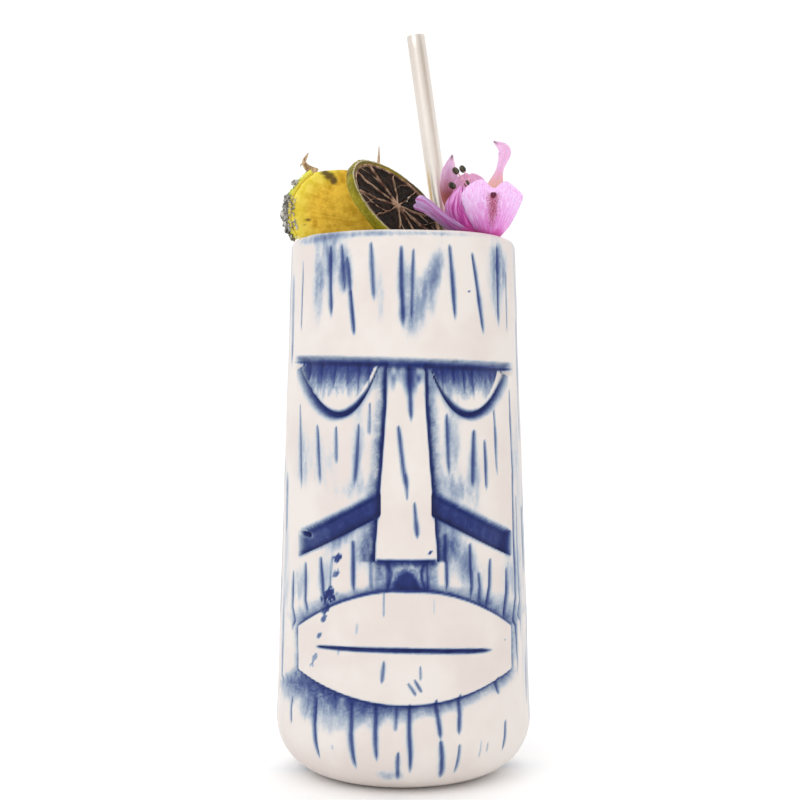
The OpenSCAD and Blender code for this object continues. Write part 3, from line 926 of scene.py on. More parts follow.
def ragged_flake(made, middle, out, size, draw):
    """A dry, torn scale: a small curled sheet with a ragged edge, standing out of the rind."""
    side, up, out = frame_of(out)
    teeth = 13
    turn = turns_of(teeth)[:, None]
    spoke = np.cos(turn) * side + np.sin(turn) * up
    radius = size * (0.75 + 0.5 * draw.random((teeth, 1)))
    lift = size * (0.25 + 0.35 * draw.random((teeth, 1)))
    rim = middle + radius * spoke + lift * out
    inner = middle + 0.5 * radius * spoke + 0.12 * size * out
    back = middle + 0.8 * (rim - middle) - 0.35 * size * out
    inner, rim, back = ([made.verts.new(p * MM) for p in ring] for ring in (inner, rim, back))
    centre = made.verts.new((middle + 0.05 * size * out) * MM)
    foot = made.verts.new((middle - 0.5 * size * out) * MM)
    for j in range(teeth):
        k = (j + 1) % teeth
        made.faces.new((centre, inner[j], inner[k]))
        made.faces.new((inner[j], rim[j], rim[k], inner[k]))
        made.faces.new((rim[j], back[j], back[k], rim[k]))
        made.faces.new((back[j], foot, back[k]))


def on_rind(degrees, across, inset):
    """A place under the wedge's rind, and the way out from the fruit's middle there."""
    turn = math.radians(degrees)
    out = np.array([math.cos(turn), 0.0, math.sin(turn)])
    return np.array([rind_middle[0], WEDGE_FRONT + across, rind_middle[1]]) + out * (RIND_RADIUS - inset), out


def build_wedge_scales():
    draw = np.random.default_rng(19)
    made = bmesh.new()
    for degrees in (128, 140, 150, 160, 166, 172, 177, 182, 187, 193, 200, 207):
        for across in (0.9, 2.9, 4.9, 7.2, 9.6):
            middle, out = on_rind(degrees + draw.uniform(-4, 4), across, 0.5)
            dense = 1.0 if 160 < degrees < 195 else 0.45
            if draw.random() > dense + 0.1:
                continue
            size = draw.uniform(0.9, 1.7) * (0.6 + 0.6 * dense)
            ragged_flake(made, middle, out + draw.normal(size=3) * 0.22, size, draw)
    for degrees in (161, 166, 171, 175, 180, 185, 190, 195, 199):
        for inset in (0.2, 1.5, 2.8):
            middle, away = on_rind(degrees + draw.uniform(-2, 2), 0.3, inset)
            out = away * 0.6 + np.array([0.0, -1.0, 0.0]) + draw.normal(size=3) * 0.3
            ragged_flake(made, middle, out, draw.uniform(0.6, 1.25) * (1.15 - 0.15 * inset), draw)
    bmesh.ops.recalc_face_normals(made, faces=made.faces[:])
    scales = from_bmesh("wedge_scales", made)
    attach(scales, "pineapple")
    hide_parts("pineapple_scales")
    return scales


def swept(name, spine, widths, thicknesses, facing, body, step):
    """A tapering sheet or cord along a spine: an oval section, wide across and thin along facing."""
    spine = np.array(spine, float)
    knots = np.linspace(0, 1, len(spine))
    length = np.linalg.norm(np.diff(spine, axis=0), axis=1).sum()
    t = np.linspace(0, 1, max(int(length / step), 8))
    line = np.stack([smooth_through(knots, spine[:, k], t) for k in range(3)], 1)
    width, thick = smooth_through(knots, widths, t), smooth_through(knots, thicknesses, t)
    way = np.gradient(line, axis=0)
    way /= np.linalg.norm(way, axis=1)[:, None]
    side = np.cross(way, np.array(facing, float))
    side /= np.linalg.norm(side, axis=1)[:, None]
    face = np.cross(side, way)
    sides = 14
    turn = turns_of(sides)[:, None]
    rings = []
    for i in range(len(t)):
        rings.append(line[i] + np.cos(turn) * width[i] / 2 * side[i] + np.sin(turn) * thick[i] / 2 * face[i])
    return mesh_object(name, np.concatenate(rings), bar_faces(len(t), sides), body)


def smooth_through(knots, values, places):
    """A smooth curve through values at knots, read at places."""
    values = np.array(values, float)
    slopes = np.gradient(values, knots)
    index = np.clip(np.searchsorted(knots, places, side="right") - 1, 0, len(knots) - 2)
    span = knots[index + 1] - knots[index]
    t = (places - knots[index]) / span
    first, last = values[index], values[index + 1]
    return (
        (2 * t**3 - 3 * t**2 + 1) * first + (t**3 - 2 * t**2 + t) * slopes[index] * span
        + (-2 * t**3 + 3 * t**2) * last + (t**3 - t**2) * slopes[index + 1] * span
    )


def flesh_paint():
    paint = Paint("wet_flesh", Specular_IOR_Level=0.2)
    ray = paint.mapped_noise(0.42, 5.0, paint.read("ray"))
    grain = paint.noise(330, 5, 0.65)
    depth = paint.read("from_rind") + (paint.noise(120, 4) - 0.5) * 0.25
    fibre = (ray * 0.2 + grain * 0.8).above(0.36, 0.62)
    inner = paint.mix((0.62, 0.35, 0.012, 1), (0.92, 0.58, 0.05, 1), fibre)
    outer = paint.mix((0.80, 0.62, 0.035, 1), (0.95, 0.80, 0.13, 1), grain.above(0.35, 0.65))
    # Deep flesh away from the rind; the same mask paints the lime wheel's shadow on the wedge's right side.
    colour = paint.mix(outer, inner, depth.above(0.2, 0.8))
    brown = paint.read("stained") + (paint.noise(420, 4, 0.7) - 0.5) * 0.6
    colour = paint.mix(colour, (0.06, 0.028, 0.008, 1), brown.above(0.3, 0.85) * 0.9)
    paint.feed(Base_Color=colour, Roughness=0.35 + 0.25 * grain)
    paint.feed(Normal=paint.bump(ray * 0.1 + grain * 0.6, 0.0004, 0.5))
    return paint


def rind_paint():
    paint = Paint("waxy_rind", Roughness=0.5)
    patch = paint.noise(170, 5, 0.6)
    green = paint.mix((0.38, 0.46, 0.015, 1), (0.72, 0.70, 0.05, 1), patch.above(0.4, 0.58))
    brown = paint.mix((0.05, 0.04, 0.02, 1), (0.55, 0.50, 0.36, 1), paint.noise(420, 4).above(0.42, 0.6))
    down = paint.read("down") + (paint.noise(150, 3) - 0.5) * 0.35
    worn = down.above(0.36, 0.5) * (1 - down.above(0.68, 0.8))
    speck = paint.noise(380, 3).above(0.6, 0.68)
    green = paint.mix(green, (0.07, 0.09, 0.01, 1), speck * 0.6)
    outside = (paint.read("depth") + (patch - 0.5) * 0.5).above(0.3, 0.7)
    skin = paint.mix((0.80, 0.62, 0.04, 1), paint.mix(green, brown, worn * 0.85), outside)
    paint.feed(Base_Color=skin, Roughness=0.42 + 0.3 * worn)
    paint.feed(Normal=paint.bump(patch, 0.0006, 0.6))
    return paint


def dry_paint(name, dark, light, scale):
    paint = Paint(name, Roughness=0.85)
    fibre = paint.noise(scale, 5, 0.65, paint.stretched(1, 1, 0.4))
    paint.feed(Base_Color=paint.mix(dark, light, fibre.above(0.38, 0.62)))
    paint.feed(Normal=paint.bump(fibre, 0.0004, 0.7))
    return paint


flesh_paint().on(build_wedge_flesh())
rind_paint().on(build_wedge_rind())
dry_scale = dry_paint("dry_scale", (0.03, 0.025, 0.02, 1), (0.66, 0.63, 0.58, 1), 700)
dry_scale.on(build_wedge_scales())
bract = swept(
    "wedge_bract",
    [(-28.5, 11.5, 193.6), (-31.4, 11.8, 195.2), (-32.6, 12, 197.2), (-31.9, 12.2, 199.0),
     (-31.2, 12.2, 200.3)],
    widths=[3.0, 2.2, 1.4, 0.9, 0.25], thicknesses=[1.2, 0.8, 0.6, 0.5, 0.2], facing=(0, 1, 0),
    body="pineapple", step=0.3)
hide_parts("pineapple_bract")
barb = swept(
    "wedge_barb",
    [(-32.0, 11.6, 196.2), (-33.4, 11.4, 196.4), (-33.9, 11.2, 195.4)],
    widths=[0.9, 0.6, 0.15], thicknesses=[0.6, 0.4, 0.15], facing=(0, 1, 0),
    body="pineapple", step=0.3)
tuft = swept(
    "wedge_tuft",
    [(-8.3, 8.2, 193.0), (-7.9, 8.0, 198.0), (-7.8, 8.0, 201.8)],
    widths=[1.5, 0.8, 0.2], thicknesses=[0.6, 0.4, 0.15], facing=(0, 1, 0),
    body="pineapple", step=0.3)
dry_leaf = dry_paint("dry_leaf", (0.24, 0.13, 0.06, 1), (0.66, 0.48, 0.30, 1), 500)
dry_leaf.on(bract, barb, tuft)

# ---------------------------------------------------------------------------------------------
# The lime wheel. A slice cut across a lime and dried till its flesh is nearly black: a leathery
# olive rind with a pale cut edge, pale walls between the segments, and shrunken dark pulp.
# ---------------------------------------------------------------------------------------------
wheel_low, wheel_high = in_mm(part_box("lime_rind"))
wheel_middle = (wheel_low + wheel_high) / 2
WHEEL_TILT = math.radians(54.7)
WHEEL_HEADING = math.radians(-39.7)
wheel_normal = np.array([
    math.sin(WHEEL_TILT) * math.cos(WHEEL_HEADING), math.sin(WHEEL_TILT) * math.sin(WHEEL_HEADING),
    math.cos(WHEEL_TILT),
])
wheel_across = np.array([math.sin(WHEEL_HEADING), -math.cos(WHEEL_HEADING), 0.0])
wheel_uphill = np.cross(wheel_across, wheel_normal)
if wheel_uphill[2] < 0:
    wheel_uphill = -wheel_uphill
WHEEL_RADIUS = 19.5
WHEEL_HALF = 2.35
RIND_RING = 2.0
segment_edges = np.radians(np.array([0, 33, 71, 108, 142, 181, 214, 251, 287, 325, 360]) + 12)


def on_wheel(points):
    """Carries [x, y, level] drawn on the flat wheel to its place, with the warp of drying."""
    warp = 0.35 * (points[:, 0] ** 2 - points[:, 1] ** 2) / WHEEL_RADIUS**2
    level = np.clip(points[:, 2] + warp, -WHEEL_HALF, WHEEL_HALF)
    flat = points[:, :1] * wheel_across + points[:, 1:2] * wheel_uphill
    return wheel_middle + flat + level[:, None] * wheel_normal


def wheel_rim(turn):
    """The dried wheel is not quite round."""
    return WHEEL_RADIUS - 0.45 + 0.3 * np.sin(2 * turn + 0.6) + 0.15 * np.sin(5 * turn + 1.0)


def round_points(radius, turn):
    """Points on the flat wheel, by how far they are from its middle and by their turn."""
    return np.stack([radius * np.cos(turn), radius * np.sin(turn)], 1)


def build_wheel_rind():
    turns = turns_of(220)
    section = smooth_outline([(-RIND_RING, -1.75), (0, -1.5), (0, 1.5), (-RIND_RING, 1.8)], 0.7, 0.33)
    count = len(section)
    rows = []
    for turn in turns:
        pores = value_noise(np.full(count, turn * 30), section[:, 1] / 0.9, 71) - 0.5
        edge = rise(-0.9, 0, section[:, 0])
        r = wheel_rim(turn) + section[:, 0] + edge * (0.35 * pores - 0.1)
        level = section[:, 1] * (0.94 + 0.06 * math.sin(7 * turn)) + 0.1 * pores
        rows.append(np.stack([r * math.cos(turn), r * math.sin(turn), level], 1))
    faces = grid_faces(len(turns), count, looped=True)
    rind = mesh_object("wheel_rind", on_wheel(np.concatenate(rows)), faces, "lime_wheel")
    paint_points(rind, "cut_face", np.tile(np.abs(section[:, 1]) / 1.8, len(turns)))
    paint_points(rind, "inward", np.tile(-section[:, 0] / RIND_RING, len(turns)))
    outward = np.outer(np.cos(turns), wheel_across) + np.outer(np.sin(turns), wheel_uphill)
    # The rind is darkened to near black on the side that faces right and up.
    scorched = rise(0.1, 0.6, outward[:, 0] + 0.3 * outward[:, 2])
    paint_points(rind, "scorched", np.repeat(scorched, count))
    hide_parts("lime_rind")
    return rind


def wall_turn(edge, r):
    """The walls between segments wander a little on their way out."""
    return edge + 0.03 * np.sin(r / 2.6 + 9 * edge) + 0.015 * np.sin(r * 1.1 + 4 * edge)


def build_wheel_walls():
    """The pale core, the walls that run out from it, and the ring of pith inside the rind."""
    points, faces = [], []

    def strip(line, widths, low, high):
        """Adds a rounded strip along a flat line."""
        way = np.gradient(line, axis=0)
        way /= np.linalg.norm(way, axis=1)[:, None] + 1e-9
        side = np.stack([-way[:, 1], way[:, 0]], 1)
        shoulder = high - 0.12
        shape = [(-0.5, low), (-0.5, shoulder), (-0.25, high), (0.25, high), (0.5, shoulder), (0.5, low)]
        start = len(points)
        for i in range(len(line)):
            for across, level in shape:
                flat = line[i] + side[i] * across * widths[i]
                points.append((flat[0], flat[1], level))
        faces.extend(tuple(start + v for v in face) for face in bar_faces(len(line), len(shape)))

    r = np.linspace(0.6, WHEEL_RADIUS - RIND_RING - 0.9, 40)
    for i, edge in enumerate(segment_edges[:-1]):
        turn = wall_turn(edge, r)
        strip(round_points(r, turn), 0.17 + 0.5 * rise(4, 0.5, r) + 0.2 * rise(14, 16.5, r), -1.45, 1.3)
        branch = r[r > 7.5]
        way = 1 if i % 2 else -1
        split = wall_turn(edge, branch) + way * (0.3 + 0.03 * i) * rise(7, 17, branch)
        if i % 3 != 1:
            strip(round_points(branch, split), np.full(len(branch), 0.12), -1.3, 1.1)
    turn = np.linspace(0, 2 * math.pi, 160)
    ring = wheel_rim(turn) - RIND_RING - 0.25
    strip(round_points(ring, turn), np.full(160, 0.5), -1.6, 1.3)
    strip(round_points(0.75, np.linspace(0, 2 * math.pi, 24)), np.full(24, 1.3), -1.3, 1.3)
    walls = mesh_object("wheel_walls", on_wheel(np.array(points)), faces, "lime_wheel")
    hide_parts("lime_membranes")
    return walls


def build_wheel_pulp():
    """One shrunken, wrinkled pillow for each segment, joined into one piece."""
    points, faces = [], []
    r = np.linspace(2.0, WHEEL_RADIUS - RIND_RING - 1.0, 12)
    gap = 0.3 / r
    for i, (first, last) in enumerate(zip(segment_edges, segment_edges[1:])):
        one = round_points(r, wall_turn(first, r) + gap)
        outer = round_points(r[-1], np.linspace(first, last, 9)[1:-1])
        two = round_points(r, wall_turn(last, r) - gap)[::-1]
        outline = smooth_outline([*one, *outer, *two], 0.5, 0.42)

        def wrinkles(p):
            out = np.hypot(p[:, 0], p[:, 1])
            turn = np.arctan2(p[:, 1], p[:, 0])
            folds = value_noise(turn * 14 + 40, out / 3.4, 81 + i) - 0.5
            grain = value_noise(p[:, 0] / 0.7 + 30, p[:, 1] / 0.7 + 30, 92) - 0.5
            return 0.55 * folds + 0.3 * grain - 0.1

        some, quads = pillow(outline, -1.0, 1.0, 0.6, 9, wrinkles)
        faces += [tuple(v + len(points) for v in face) for face in quads]
        points += some.tolist()
    pulp = mesh_object("wheel_pulp", on_wheel(np.array(points)), faces, "lime_wheel")
    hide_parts("lime_pulp")
    return pulp


def wheel_rind_paint():
    paint = Paint("dried_peel", Specular_IOR_Level=0.12)
    pores = paint.noise(900, 4)
    patch = paint.noise(120, 4).above(0.35, 0.65)
    green = paint.mix((0.13, 0.11, 0.003, 1), (0.30, 0.25, 0.01, 1), patch)
    green = paint.mix(green, (0.42, 0.36, 0.05, 1), pores.above(0.55, 0.7) * 0.4)
    edge = (paint.read("cut_face") + (pores - 0.5) * 0.15).above(0.86, 0.97)
    inward = (paint.read("inward") + (pores - 0.5) * 0.3).above(0.46, 0.66)
    cream = paint.mix((0.80, 0.74, 0.54, 1), (0.10, 0.055, 0.03, 1), inward)
    # Near black on the rind's right and upper side.
    scorched = (paint.read("scorched") + (pores - 0.5) * 0.3).above(0.2, 0.7)
    skin = paint.mix(paint.mix(green, cream, edge), (0.07, 0.045, 0.018, 1), scorched * 0.85)
    paint.feed(Base_Color=skin, Roughness=0.42 + 0.3 * edge)
    paint.feed(Normal=paint.bump(pores, 0.0003, 0.6))
    return paint


def pulp_paint():
    paint = Paint("dried_pulp", Specular_IOR_Level=0.1)
    wrinkle = paint.noise(420, 6, 0.65)
    colour = paint.mix((0.006, 0.003, 0.002, 1), (0.030, 0.013, 0.007, 1), wrinkle.above(0.42, 0.7))
    amber = paint.noise(160, 4).above(0.62, 0.8)
    colour = paint.mix(colour, (0.11, 0.04, 0.018, 1), amber * 0.5)
    paint.feed(Base_Color=colour, Roughness=0.5 + 0.3 * wrinkle)
    paint.feed(Normal=paint.bump(wrinkle, 0.0007, 0.8))
    return paint


wheel_rind_paint().on(build_wheel_rind())
pith_paint = dry_paint("dried_pith", (0.12, 0.05, 0.025, 1), (0.50, 0.32, 0.21, 1), 380)
pith_paint.on(build_wheel_walls())
pulp_paint().on(build_wheel_pulp())

# ---------------------------------------------------------------------------------------------
# The bloom. One Peruvian lily, picked with a short stalk: three broad outer tepals with a dark
# point in a notch, three narrow inner ones with streaks and a green tip, and six dark anthers.
# ---------------------------------------------------------------------------------------------
pistil_low, pistil_high = in_mm(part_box("pistil"))
foot_x, foot_y, _ = (pistil_low + pistil_high) / 2
foot_z = pistil_low[2]
bloom_foot = np.array([foot_x, foot_y, foot_z])
TEPAL_THICKNESS = 0.34


def tepal(node, spine, widths, facing, cup, ruffle, notch, blunt, phase):
    """A tepal grown along a spine of points from its foot to its tip.

    widths are its full widths at those points, facing is the way its inner face looks, and cup is
    how far its edges rise, as a share of its half width. ruffle waves its edges, from a phase on.
    notch cuts its tip and blunt rounds it."""
    spine = np.array(spine, float)
    knots = np.linspace(0, 1, len(spine))
    rows, columns = 60, 35
    u = np.linspace(-1, 1, columns)
    t = np.linspace(0, 1, rows)
    reach = 1 - notch * ridge(u, 0.24) - blunt * (1 - np.sqrt(1 - 0.98 * u * u))
    along = t[:, None] * reach
    line = np.stack([smooth_through(knots, spine[:, k], along) for k in range(3)], 2)
    width = np.maximum(smooth_through(knots, widths, along), 0.25) / 2
    way = np.gradient(line, axis=0)
    way /= np.linalg.norm(way, axis=2)[:, :, None]
    side = np.cross(way, np.array(facing, float))
    side /= np.linalg.norm(side, axis=2)[:, :, None]
    face = np.cross(side, way)
    wave = ruffle * rise(0.35, 0.9, along) * np.sin(7 * u + 5 * along + phase)
    lift = (cup + wave * 0.5) * u * u * width - 0.16 * ridge(u, 0.1) * (1 - along)
    points = line + side * (u * width)[:, :, None] + face * lift[:, :, None]
    normal = np.cross(np.gradient(points, axis=0), np.gradient(points, axis=1))
    normal /= np.linalg.norm(normal, axis=2)[:, :, None] + 1e-9
    half = TEPAL_THICKNESS / 2 * (1 - 0.6 * u ** 4)[:, None]
    total = rows * columns
    faces = []
    for i in range(rows - 1):
        for j in range(columns - 1):
            a, b = i * columns + j, (i + 1) * columns + j
            faces.append((a, a + 1, b + 1, b))
            faces.append((b + total, b + 1 + total, a + 1 + total, a + total))
    border = list(range(columns)) + [i * columns + columns - 1 for i in range(1, rows)]
    border += [(rows - 1) * columns + j for j in range(columns - 2, -1, -1)]
    border += [i * columns for i in range(rows - 2, 0, -1)]
    for here, after in zip(border, border[1:] + border[:1]):
        faces.append((after, here, here + total, after + total))
    skins = [(points + normal * half).reshape(-1, 3), (points - normal * half).reshape(-1, 3)]
    made = mesh_object(node, np.concatenate(skins), faces, "bloom")
    paint_points(made, "along", np.tile(np.repeat(t, columns), 2))
    paint_points(made, "aside", np.tile(u, 2 * rows))
    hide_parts(node)
    return made


def tepal_paint(name, pale, deep, freckle=0.0, spot=0.0, folds=0.0, tip=None,
                throat=(0.56, 0.06, 0.34, 1), throat_reach=0.3):
    """Petal skin: paler to the edge, deeper to the foot, with veins, freckles and a coloured tip."""
    paint = Paint(
        name, Specular_IOR_Level=0.3, Subsurface_Weight=0.1, Subsurface_Scale=0.002, Sheen_Weight=0.15,
    )
    along, aside = paint.read("along"), paint.read("aside")
    out = aside.maths("ABSOLUTE", aside)
    veins = paint.mapped_noise(1.7, 4.0, aside * 11, along * 3.2)
    cloud = paint.noise(170, 3)
    depth = (1 - along) * 0.75 + (1 - out) * 0.15 + (veins - 0.5) * 0.6 + (cloud - 0.5) * 0.3
    colour = paint.mix(pale, deep, depth.above(0.15, 0.85))
    lines = (1 - (veins - 0.5).maths("ABSOLUTE", veins - 0.5) * 14).above(0.2, 1.0)
    colour = paint.mix(colour, deep, lines * 0.55)
    if folds:
        # Dark streaks along the folds: painted shade in the tepal's creases.
        crease_shade = paint.mapped_noise(1.5, 2.0, aside * 2.4, along * 0.9)
        colour = paint.mix(colour, (0.38, 0.01, 0.24, 1), crease_shade.above(0.46, 0.62) * folds)
    foot = ((1 - along) + (cloud - 0.5) * 0.2).above(1 - throat_reach, 1 - 0.6 * throat_reach)
    colour = paint.mix(colour, throat, foot * 0.92)
    dots = paint.mapped_noise(1.5, 2.0, aside * 15, along * 22)
    middle = (1 - out).above(0.5, 0.9) * along.above(0.15, 0.45) * (1 - along).above(0.1, 0.2)
    colour = paint.mix(colour, (0.24, 0.01, 0.06, 1), dots.above(0.56, 0.66) * middle * freckle)
    if spot:
        streak = (1 - out).above(0.74, 0.96) * along.above(0.2, 0.6) * (1 - along).above(0.1, 0.16)
        colour = paint.mix(colour, (0.30, 0.04, 0.08, 1), streak * (0.65 + 0.35 * dots.above(0.4, 0.6)))
        across, up = aside * 9.5, (along - 0.87) * 15
        blot = 1 - (across * across + up * up) + (cloud - 0.5) * 0.8
        colour = paint.mix(colour, (0.09, 0.004, 0.03, 1), blot.above(0.1, 0.45) * spot)
    if tip:
        colour = paint.mix(colour, tip, along.above(0.92, 0.99) * (1 - out).above(0.2, 0.7))
    paint.feed(Base_Color=colour, Roughness=0.45 + 0.2 * veins)
    paint.feed(Normal=paint.bump(veins + 0.4 * paint.noise(700, 2), 0.00025, 0.6))
    return paint


front_tepal = tepal(
    "tepal_front",
    [(foot_x + 2.4, foot_y - 2.4, foot_z - 0.5), (27.0, -17.6, 172.0), (27.3, -20.0, 177.4),
     (27.4, -21.3, 182.4), (27.6, -20.9, 187.6)],
    widths=[3.0, 11.5, 17.2, 20.6, 20.0], facing=(-0.1, 1, 0.25),
    cup=0.26, ruffle=0.16, notch=0.17, blunt=0.42, phase=1)
tepal_paint(
    "lilac_tepal", (0.84, 0.58, 0.88, 1), (0.66, 0.15, 0.56, 1), freckle=0.6, spot=1.0,
).on(front_tepal)
left_tepal = tepal(
    "tepal_left",
    [(foot_x - 1.0, foot_y - 3.0, foot_z + 0.5), (15.6, -20.0, 171.6), (10.2, -21.6, 175.4),
     (6.4, -22.0, 178.2), (2.6, -22.0, 179.6)],
    widths=[3.0, 4.4, 4.4, 5.6, 7.0], facing=(0.1, 0.75, 0.65),
    cup=0.25, ruffle=0.5, notch=0.06, blunt=0.25, phase=2)
tepal_paint("violet_tepal", (0.66, 0.46, 0.80, 1), (0.32, 0.08, 0.32, 1), folds=0.6).on(left_tepal)
inner_left = tepal(
    "tepal_inner_left",
    [(foot_x - 1.6, foot_y - 1.8, foot_z), (19.0, -16.6, 172.6), (16.4, -17.8, 177.4),
     (16.6, -18.0, 181.6), (17.6, -17.6, 185.2)],
    widths=[2.6, 7.4, 9.2, 7.0, 1.6], facing=(0.3, 0.9, 0.2),
    cup=0.45, ruffle=0.8, notch=0.0, blunt=0.1, phase=3)
tepal_paint(
    "rose_tepal", (0.84, 0.42, 0.78, 1), (0.62, 0.07, 0.46, 1), freckle=0.2, folds=0.8,
).on(inner_left)
back_tepal = tepal(
    "tepal_back",
    [(foot_x - 0.6, foot_y + 1.6, foot_z + 1), (21.6, -6.4, 177.5), (20.8, -4.6, 184.0),
     (21.2, -3.6, 188.5), (21.2, -3.4, 191.6)],
    widths=[3.0, 8.0, 10.5, 9.5, 5.0], facing=(0.1, -1, 0.1),
    cup=0.3, ruffle=0.2, notch=0.05, blunt=0.2, phase=4)
tepal_paint(
    "pink_tepal", (0.88, 0.52, 0.78, 1), (0.66, 0.18, 0.42, 1), freckle=0.6,
    throat=(0.50, 0.12, 0.06, 1), throat_reach=0.4,
).on(back_tepal)
back_left = tepal(
    "tepal_back_left",
    [(foot_x - 2.2, foot_y + 1.0, foot_z + 1), (16.8, -7.8, 176.5), (14.6, -5.2, 183.0),
     (14.0, -4.2, 190.0), (15.6, -3.6, 197.2)],
    widths=[2.6, 8.0, 9.2, 7.6, 0.8], facing=(0.6, -0.8, 0.1),
    cup=0.34, ruffle=0.2, notch=0.0, blunt=0.0, phase=5)
tepal_paint(
    "throat_tepal", (0.92, 0.66, 0.90, 1), (0.66, 0.16, 0.48, 1), freckle=0.5,
    tip=(0.10, 0.12, 0.05, 1), throat=(0.36, 0.07, 0.02, 1), throat_reach=0.8,
).on(back_left)
hooked = tepal(
    "tepal_hooked",
    [(foot_x + 2.0, foot_y + 1.6, foot_z + 1), (28.0, -8.2, 177.0), (29.4, -6.6, 186.0),
     (30.9, -5.8, 192.0), (32.6, -5.0, 198.0), (28.8, -5.4, 201.4)],
    widths=[2.6, 4.6, 5.4, 2.5, 4.2, 0.5], facing=(-0.4, -1, 0.2),
    cup=0.4, ruffle=0.08, notch=0.0, blunt=0.0, phase=6)
tepal_paint(
    "pale_tepal", (0.88, 0.60, 0.84, 1), (0.78, 0.30, 0.62, 1), freckle=0.25,
    tip=(0.13, 0.12, 0.05, 1), throat=(0.84, 0.50, 0.38, 1), throat_reach=0.65,
).on(hooked)

# Where the six filaments end and the anthers sit.
ANTHERS = [
    (17.1, -6.0, 191.2), (19.2, -5.6, 191.8), (16.0, -8.4, 186.2),
    (20.6, -8.0, 186.6), (24.0, -14.0, 183.0), (22.0, -15.6, 182.0),
]


def skin_rings(made, rings):
    """Closes a stack of rings of vertices into a solid."""
    for lower, upper in zip(rings, rings[1:]):
        for j in range(len(lower)):
            k = (j + 1) % len(lower)
            made.faces.new((lower[j], lower[k], upper[k], upper[j]))
    made.faces.new(tuple(reversed(rings[0])))
    made.faces.new(tuple(rings[-1]))


def tube_into(made, line, radii, sides=10):
    """Adds a closed round tube along a line to a mesh."""
    line = np.array(line)
    turn = turns_of(sides)[:, None]
    rings = []
    for middle, way, radius in zip(line, np.gradient(line, axis=0), radii):
        first, second, _ = frame_of(way + 1e-6)
        ring = middle + radius * (np.cos(turn) * first + np.sin(turn) * second)
        rings.append([made.verts.new(point * MM) for point in ring])
    skin_rings(made, rings)


def finish_mesh(name, made, body, slot, *nodes):
    bmesh.ops.recalc_face_normals(made, faces=made.faces[:])
    piece = from_bmesh(name, made, smooth=True)
    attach(piece, body)
    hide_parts(*nodes)
    return piece


def build_stamens():
    """Six bent filaments with a dark grain of an anther on each."""
    filament_points, anther_points = bmesh.new(), bmesh.new()
    for tip in ANTHERS:
        tip = np.array(tip)
        t = np.linspace(0, 1, 14)[:, None]
        bend = np.array([foot_x, foot_y, (foot_z + tip[2]) / 2 + 3])
        line = (1 - t) ** 2 * bloom_foot + 2 * t * (1 - t) * bend + t * t * tip
        tube_into(filament_points, line, np.linspace(0.42, 0.26, 14))
        way = (line[-1] - line[-2]) / np.linalg.norm(line[-1] - line[-2])
        grain = np.linspace(-0.6, 2.2, 11)[:, None] * way + line[-1]
        swell = 0.95 * np.sqrt(np.clip(1 - np.linspace(-0.98, 0.98, 11) ** 2, 0, 1)) + 0.05
        tube_into(anther_points, grain, swell, 12)
    filaments = finish_mesh("filaments", filament_points, "bloom", "filament", "filaments")
    anthers = finish_mesh("anthers", anther_points, "bloom", "anther", "anthers")
    return filaments, anthers


def build_ovary():
    """A green pod under the tepals, with six soft ribs."""
    low, high = in_mm(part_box("ovary"))
    made = bmesh.new()
    turn = turns_of(60)
    rings = []
    for level in np.linspace(0.02, 0.98, 22):
        swell = 2.55 * math.sin(math.pi * level) ** 0.6 * (1 + 0.07 * np.cos(6 * turn))
        height = np.full(len(turn), low[2] + level * (high[2] - low[2]))
        ring = np.stack([foot_x + swell * np.cos(turn), foot_y + swell * np.sin(turn), height], 1)
        rings.append([made.verts.new(point * MM) for point in ring])
    skin_rings(made, rings)
    return finish_mesh("ovary", made, "bloom", "flower_green", "ovary")


def build_stalk():
    made = bmesh.new()
    line = np.linspace([foot_x, foot_y, stalk_low[2]], [foot_x, foot_y, stalk_high[2] + 1.0], 24)
    tube_into(made, line, 1.32 + 0.08 * np.sin(np.linspace(0, 14, 24)), 20)
    return finish_mesh("stalk", made, "bloom", "flower_green", "stalk")


filaments, anthers = build_stamens()
dry_paint("anther_dust", (0.012, 0.012, 0.008, 1), (0.12, 0.10, 0.06, 1), 1500).on(anthers)
style = swept(
    "pistil",
    [tuple(bloom_foot), (23.4, -11.6, 176), (22.6, -11.0, 182), (21.6, -10.6, 185.6)],
    widths=[0.95, 0.8, 0.65, 1.3], thicknesses=[0.95, 0.8, 0.65, 1.1], facing=(0, 1, 0),
    body="bloom", step=0.4)
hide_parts("pistil")
pink_thread = dry_paint("pink_thread", (0.62, 0.22, 0.36, 1), (0.82, 0.46, 0.56, 1), 900)
pink_thread.on(filaments, style)
green_skin = dry_paint("green_skin", (0.16, 0.26, 0.05, 1), (0.36, 0.48, 0.14, 1), 260)
green_skin.on(build_ovary(), build_stalk())

# ---------------------------------------------------------------------------------------------
# The studio. A pale floor that runs out to white, broad soft lamps on both sides, and a camera
# a little below the lip, as near to the mug as a hand's reach.
# ---------------------------------------------------------------------------------------------
CAMERA_DISTANCE = 0.470
CAMERA_HEIGHT = 0.1214
CAMERA_TURN = math.radians(-1.3)
FOCAL_LENGTH = 65.34
SENSOR_WIDTH = 36.0
# How far the picture slides across and up, as shares of its width.
SHIFT_ACROSS, SHIFT_UP = -0.004125, -0.011625

floor_mesh = bpy.data.meshes.new("floor")
outline = bmesh.new()
bmesh.ops.create_circle(outline, cap_ends=True, segments=96, radius=6)
outline.to_mesh(floor_mesh)
outline.free()
floor = linked("floor", floor_mesh)
floor.location.z = -0.0001
floor_paint = Paint("pale_floor", Roughness=0.85)
grey = floor_paint.ramp(floor_paint.noise(3, 2), [(0.3, (0.98, 0.98, 0.98)), (0.7, (0.995, 0.995, 0.995))])
floor_paint.feed(Base_Color=grey)
floor_paint.on(floor)

world = bpy.data.worlds.new("studio")
bpy.context.scene.world = world
world.use_nodes = True
world_tree = world.node_tree


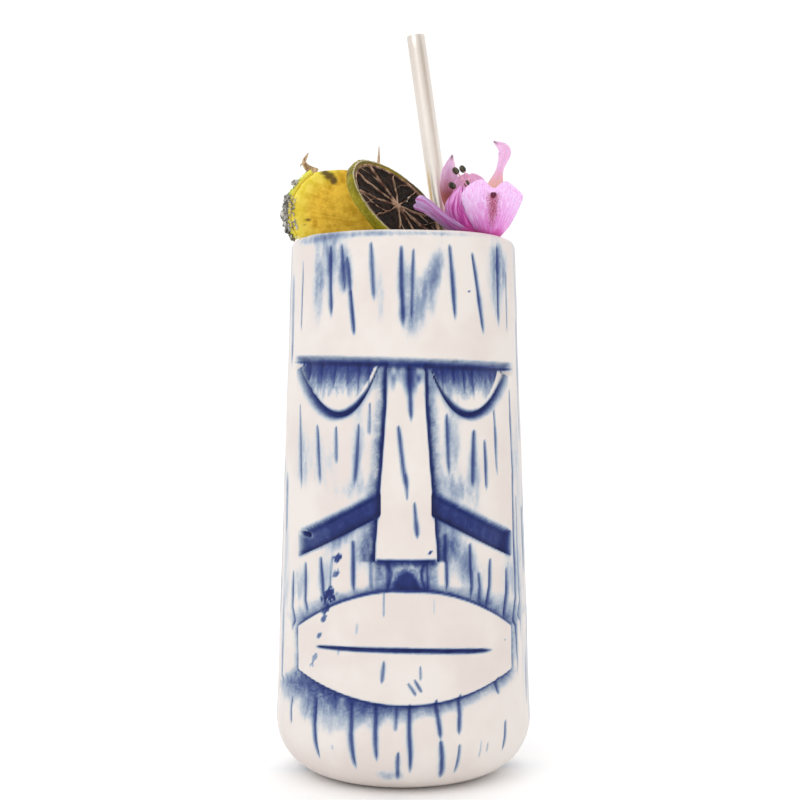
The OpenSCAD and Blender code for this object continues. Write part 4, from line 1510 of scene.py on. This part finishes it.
def world_node(kind, settings, sockets):
    node = world_tree.nodes.new("ShaderNode" + kind)
    for name, value in settings.items():
        setattr(node, name, value)
    for index, value in sockets.items():
        node.inputs[index].default_value = value
    return node


# A soft beige-grey flag stands at the front right, out of the picture, for the metal to reflect.
ways = world_node("TexCoord", {}, {})
toward = world_node("VectorMath", {"operation": "DOT_PRODUCT"}, {1: (0.70, -0.71, 0.05)})
flag = world_node("MapRange", {"interpolation_type": "SMOOTHSTEP"}, {1: 0.78, 2: 0.98})
tint = world_node("Mix", {"data_type": "RGBA"}, {6: (1, 1, 1, 1), 7: (0.50, 0.44, 0.39, 1)})
backdrop = world_tree.nodes["Background"]
world_tree.links.new(ways.outputs["Generated"], toward.inputs[0])
world_tree.links.new(toward.outputs["Value"], flag.inputs[0])
world_tree.links.new(flag.outputs[0], tint.inputs[0])
world_tree.links.new(tint.outputs[2], backdrop.inputs["Color"])
backdrop.inputs["Strength"].default_value = 1.07


def lamp(name, place, size, power):
    """A white rectangle of light that looks at the middle of the mug."""
    light = bpy.data.lights.new(name, "AREA")
    light.shape = "RECTANGLE"
    light.size, light.size_y = size
    light.energy = power
    made = linked(name, light)
    made.location = place
    aim = Vector((0, 0, 0.1)) - Vector(place)
    made.rotation_euler = aim.to_track_quat("-Z", "Y").to_euler()


lamp("key", (-0.55, -0.75, 0.75), (0.6, 0.6), 1.8)
lamp("fill", (0.6, -0.75, 0.12), (0.6, 0.5), 1.0)
lamp("back", (0.1, 0.9, 0.8), (0.8, 0.5), 1.5)

camera_data = bpy.data.cameras.new("camera")
camera_data.lens = FOCAL_LENGTH
camera_data.sensor_width = SENSOR_WIDTH
camera_data.shift_x = SHIFT_ACROSS
camera_data.shift_y = SHIFT_UP
camera_data.clip_start = 0.01
camera = linked("camera", camera_data)
camera.location = (
    CAMERA_DISTANCE * math.sin(CAMERA_TURN), -CAMERA_DISTANCE * math.cos(CAMERA_TURN), CAMERA_HEIGHT,
)
camera.rotation_euler = (math.pi / 2, 0, CAMERA_TURN)
bpy.context.scene.camera = camera
bpy.context.scene.view_settings.view_transform = "Standard"
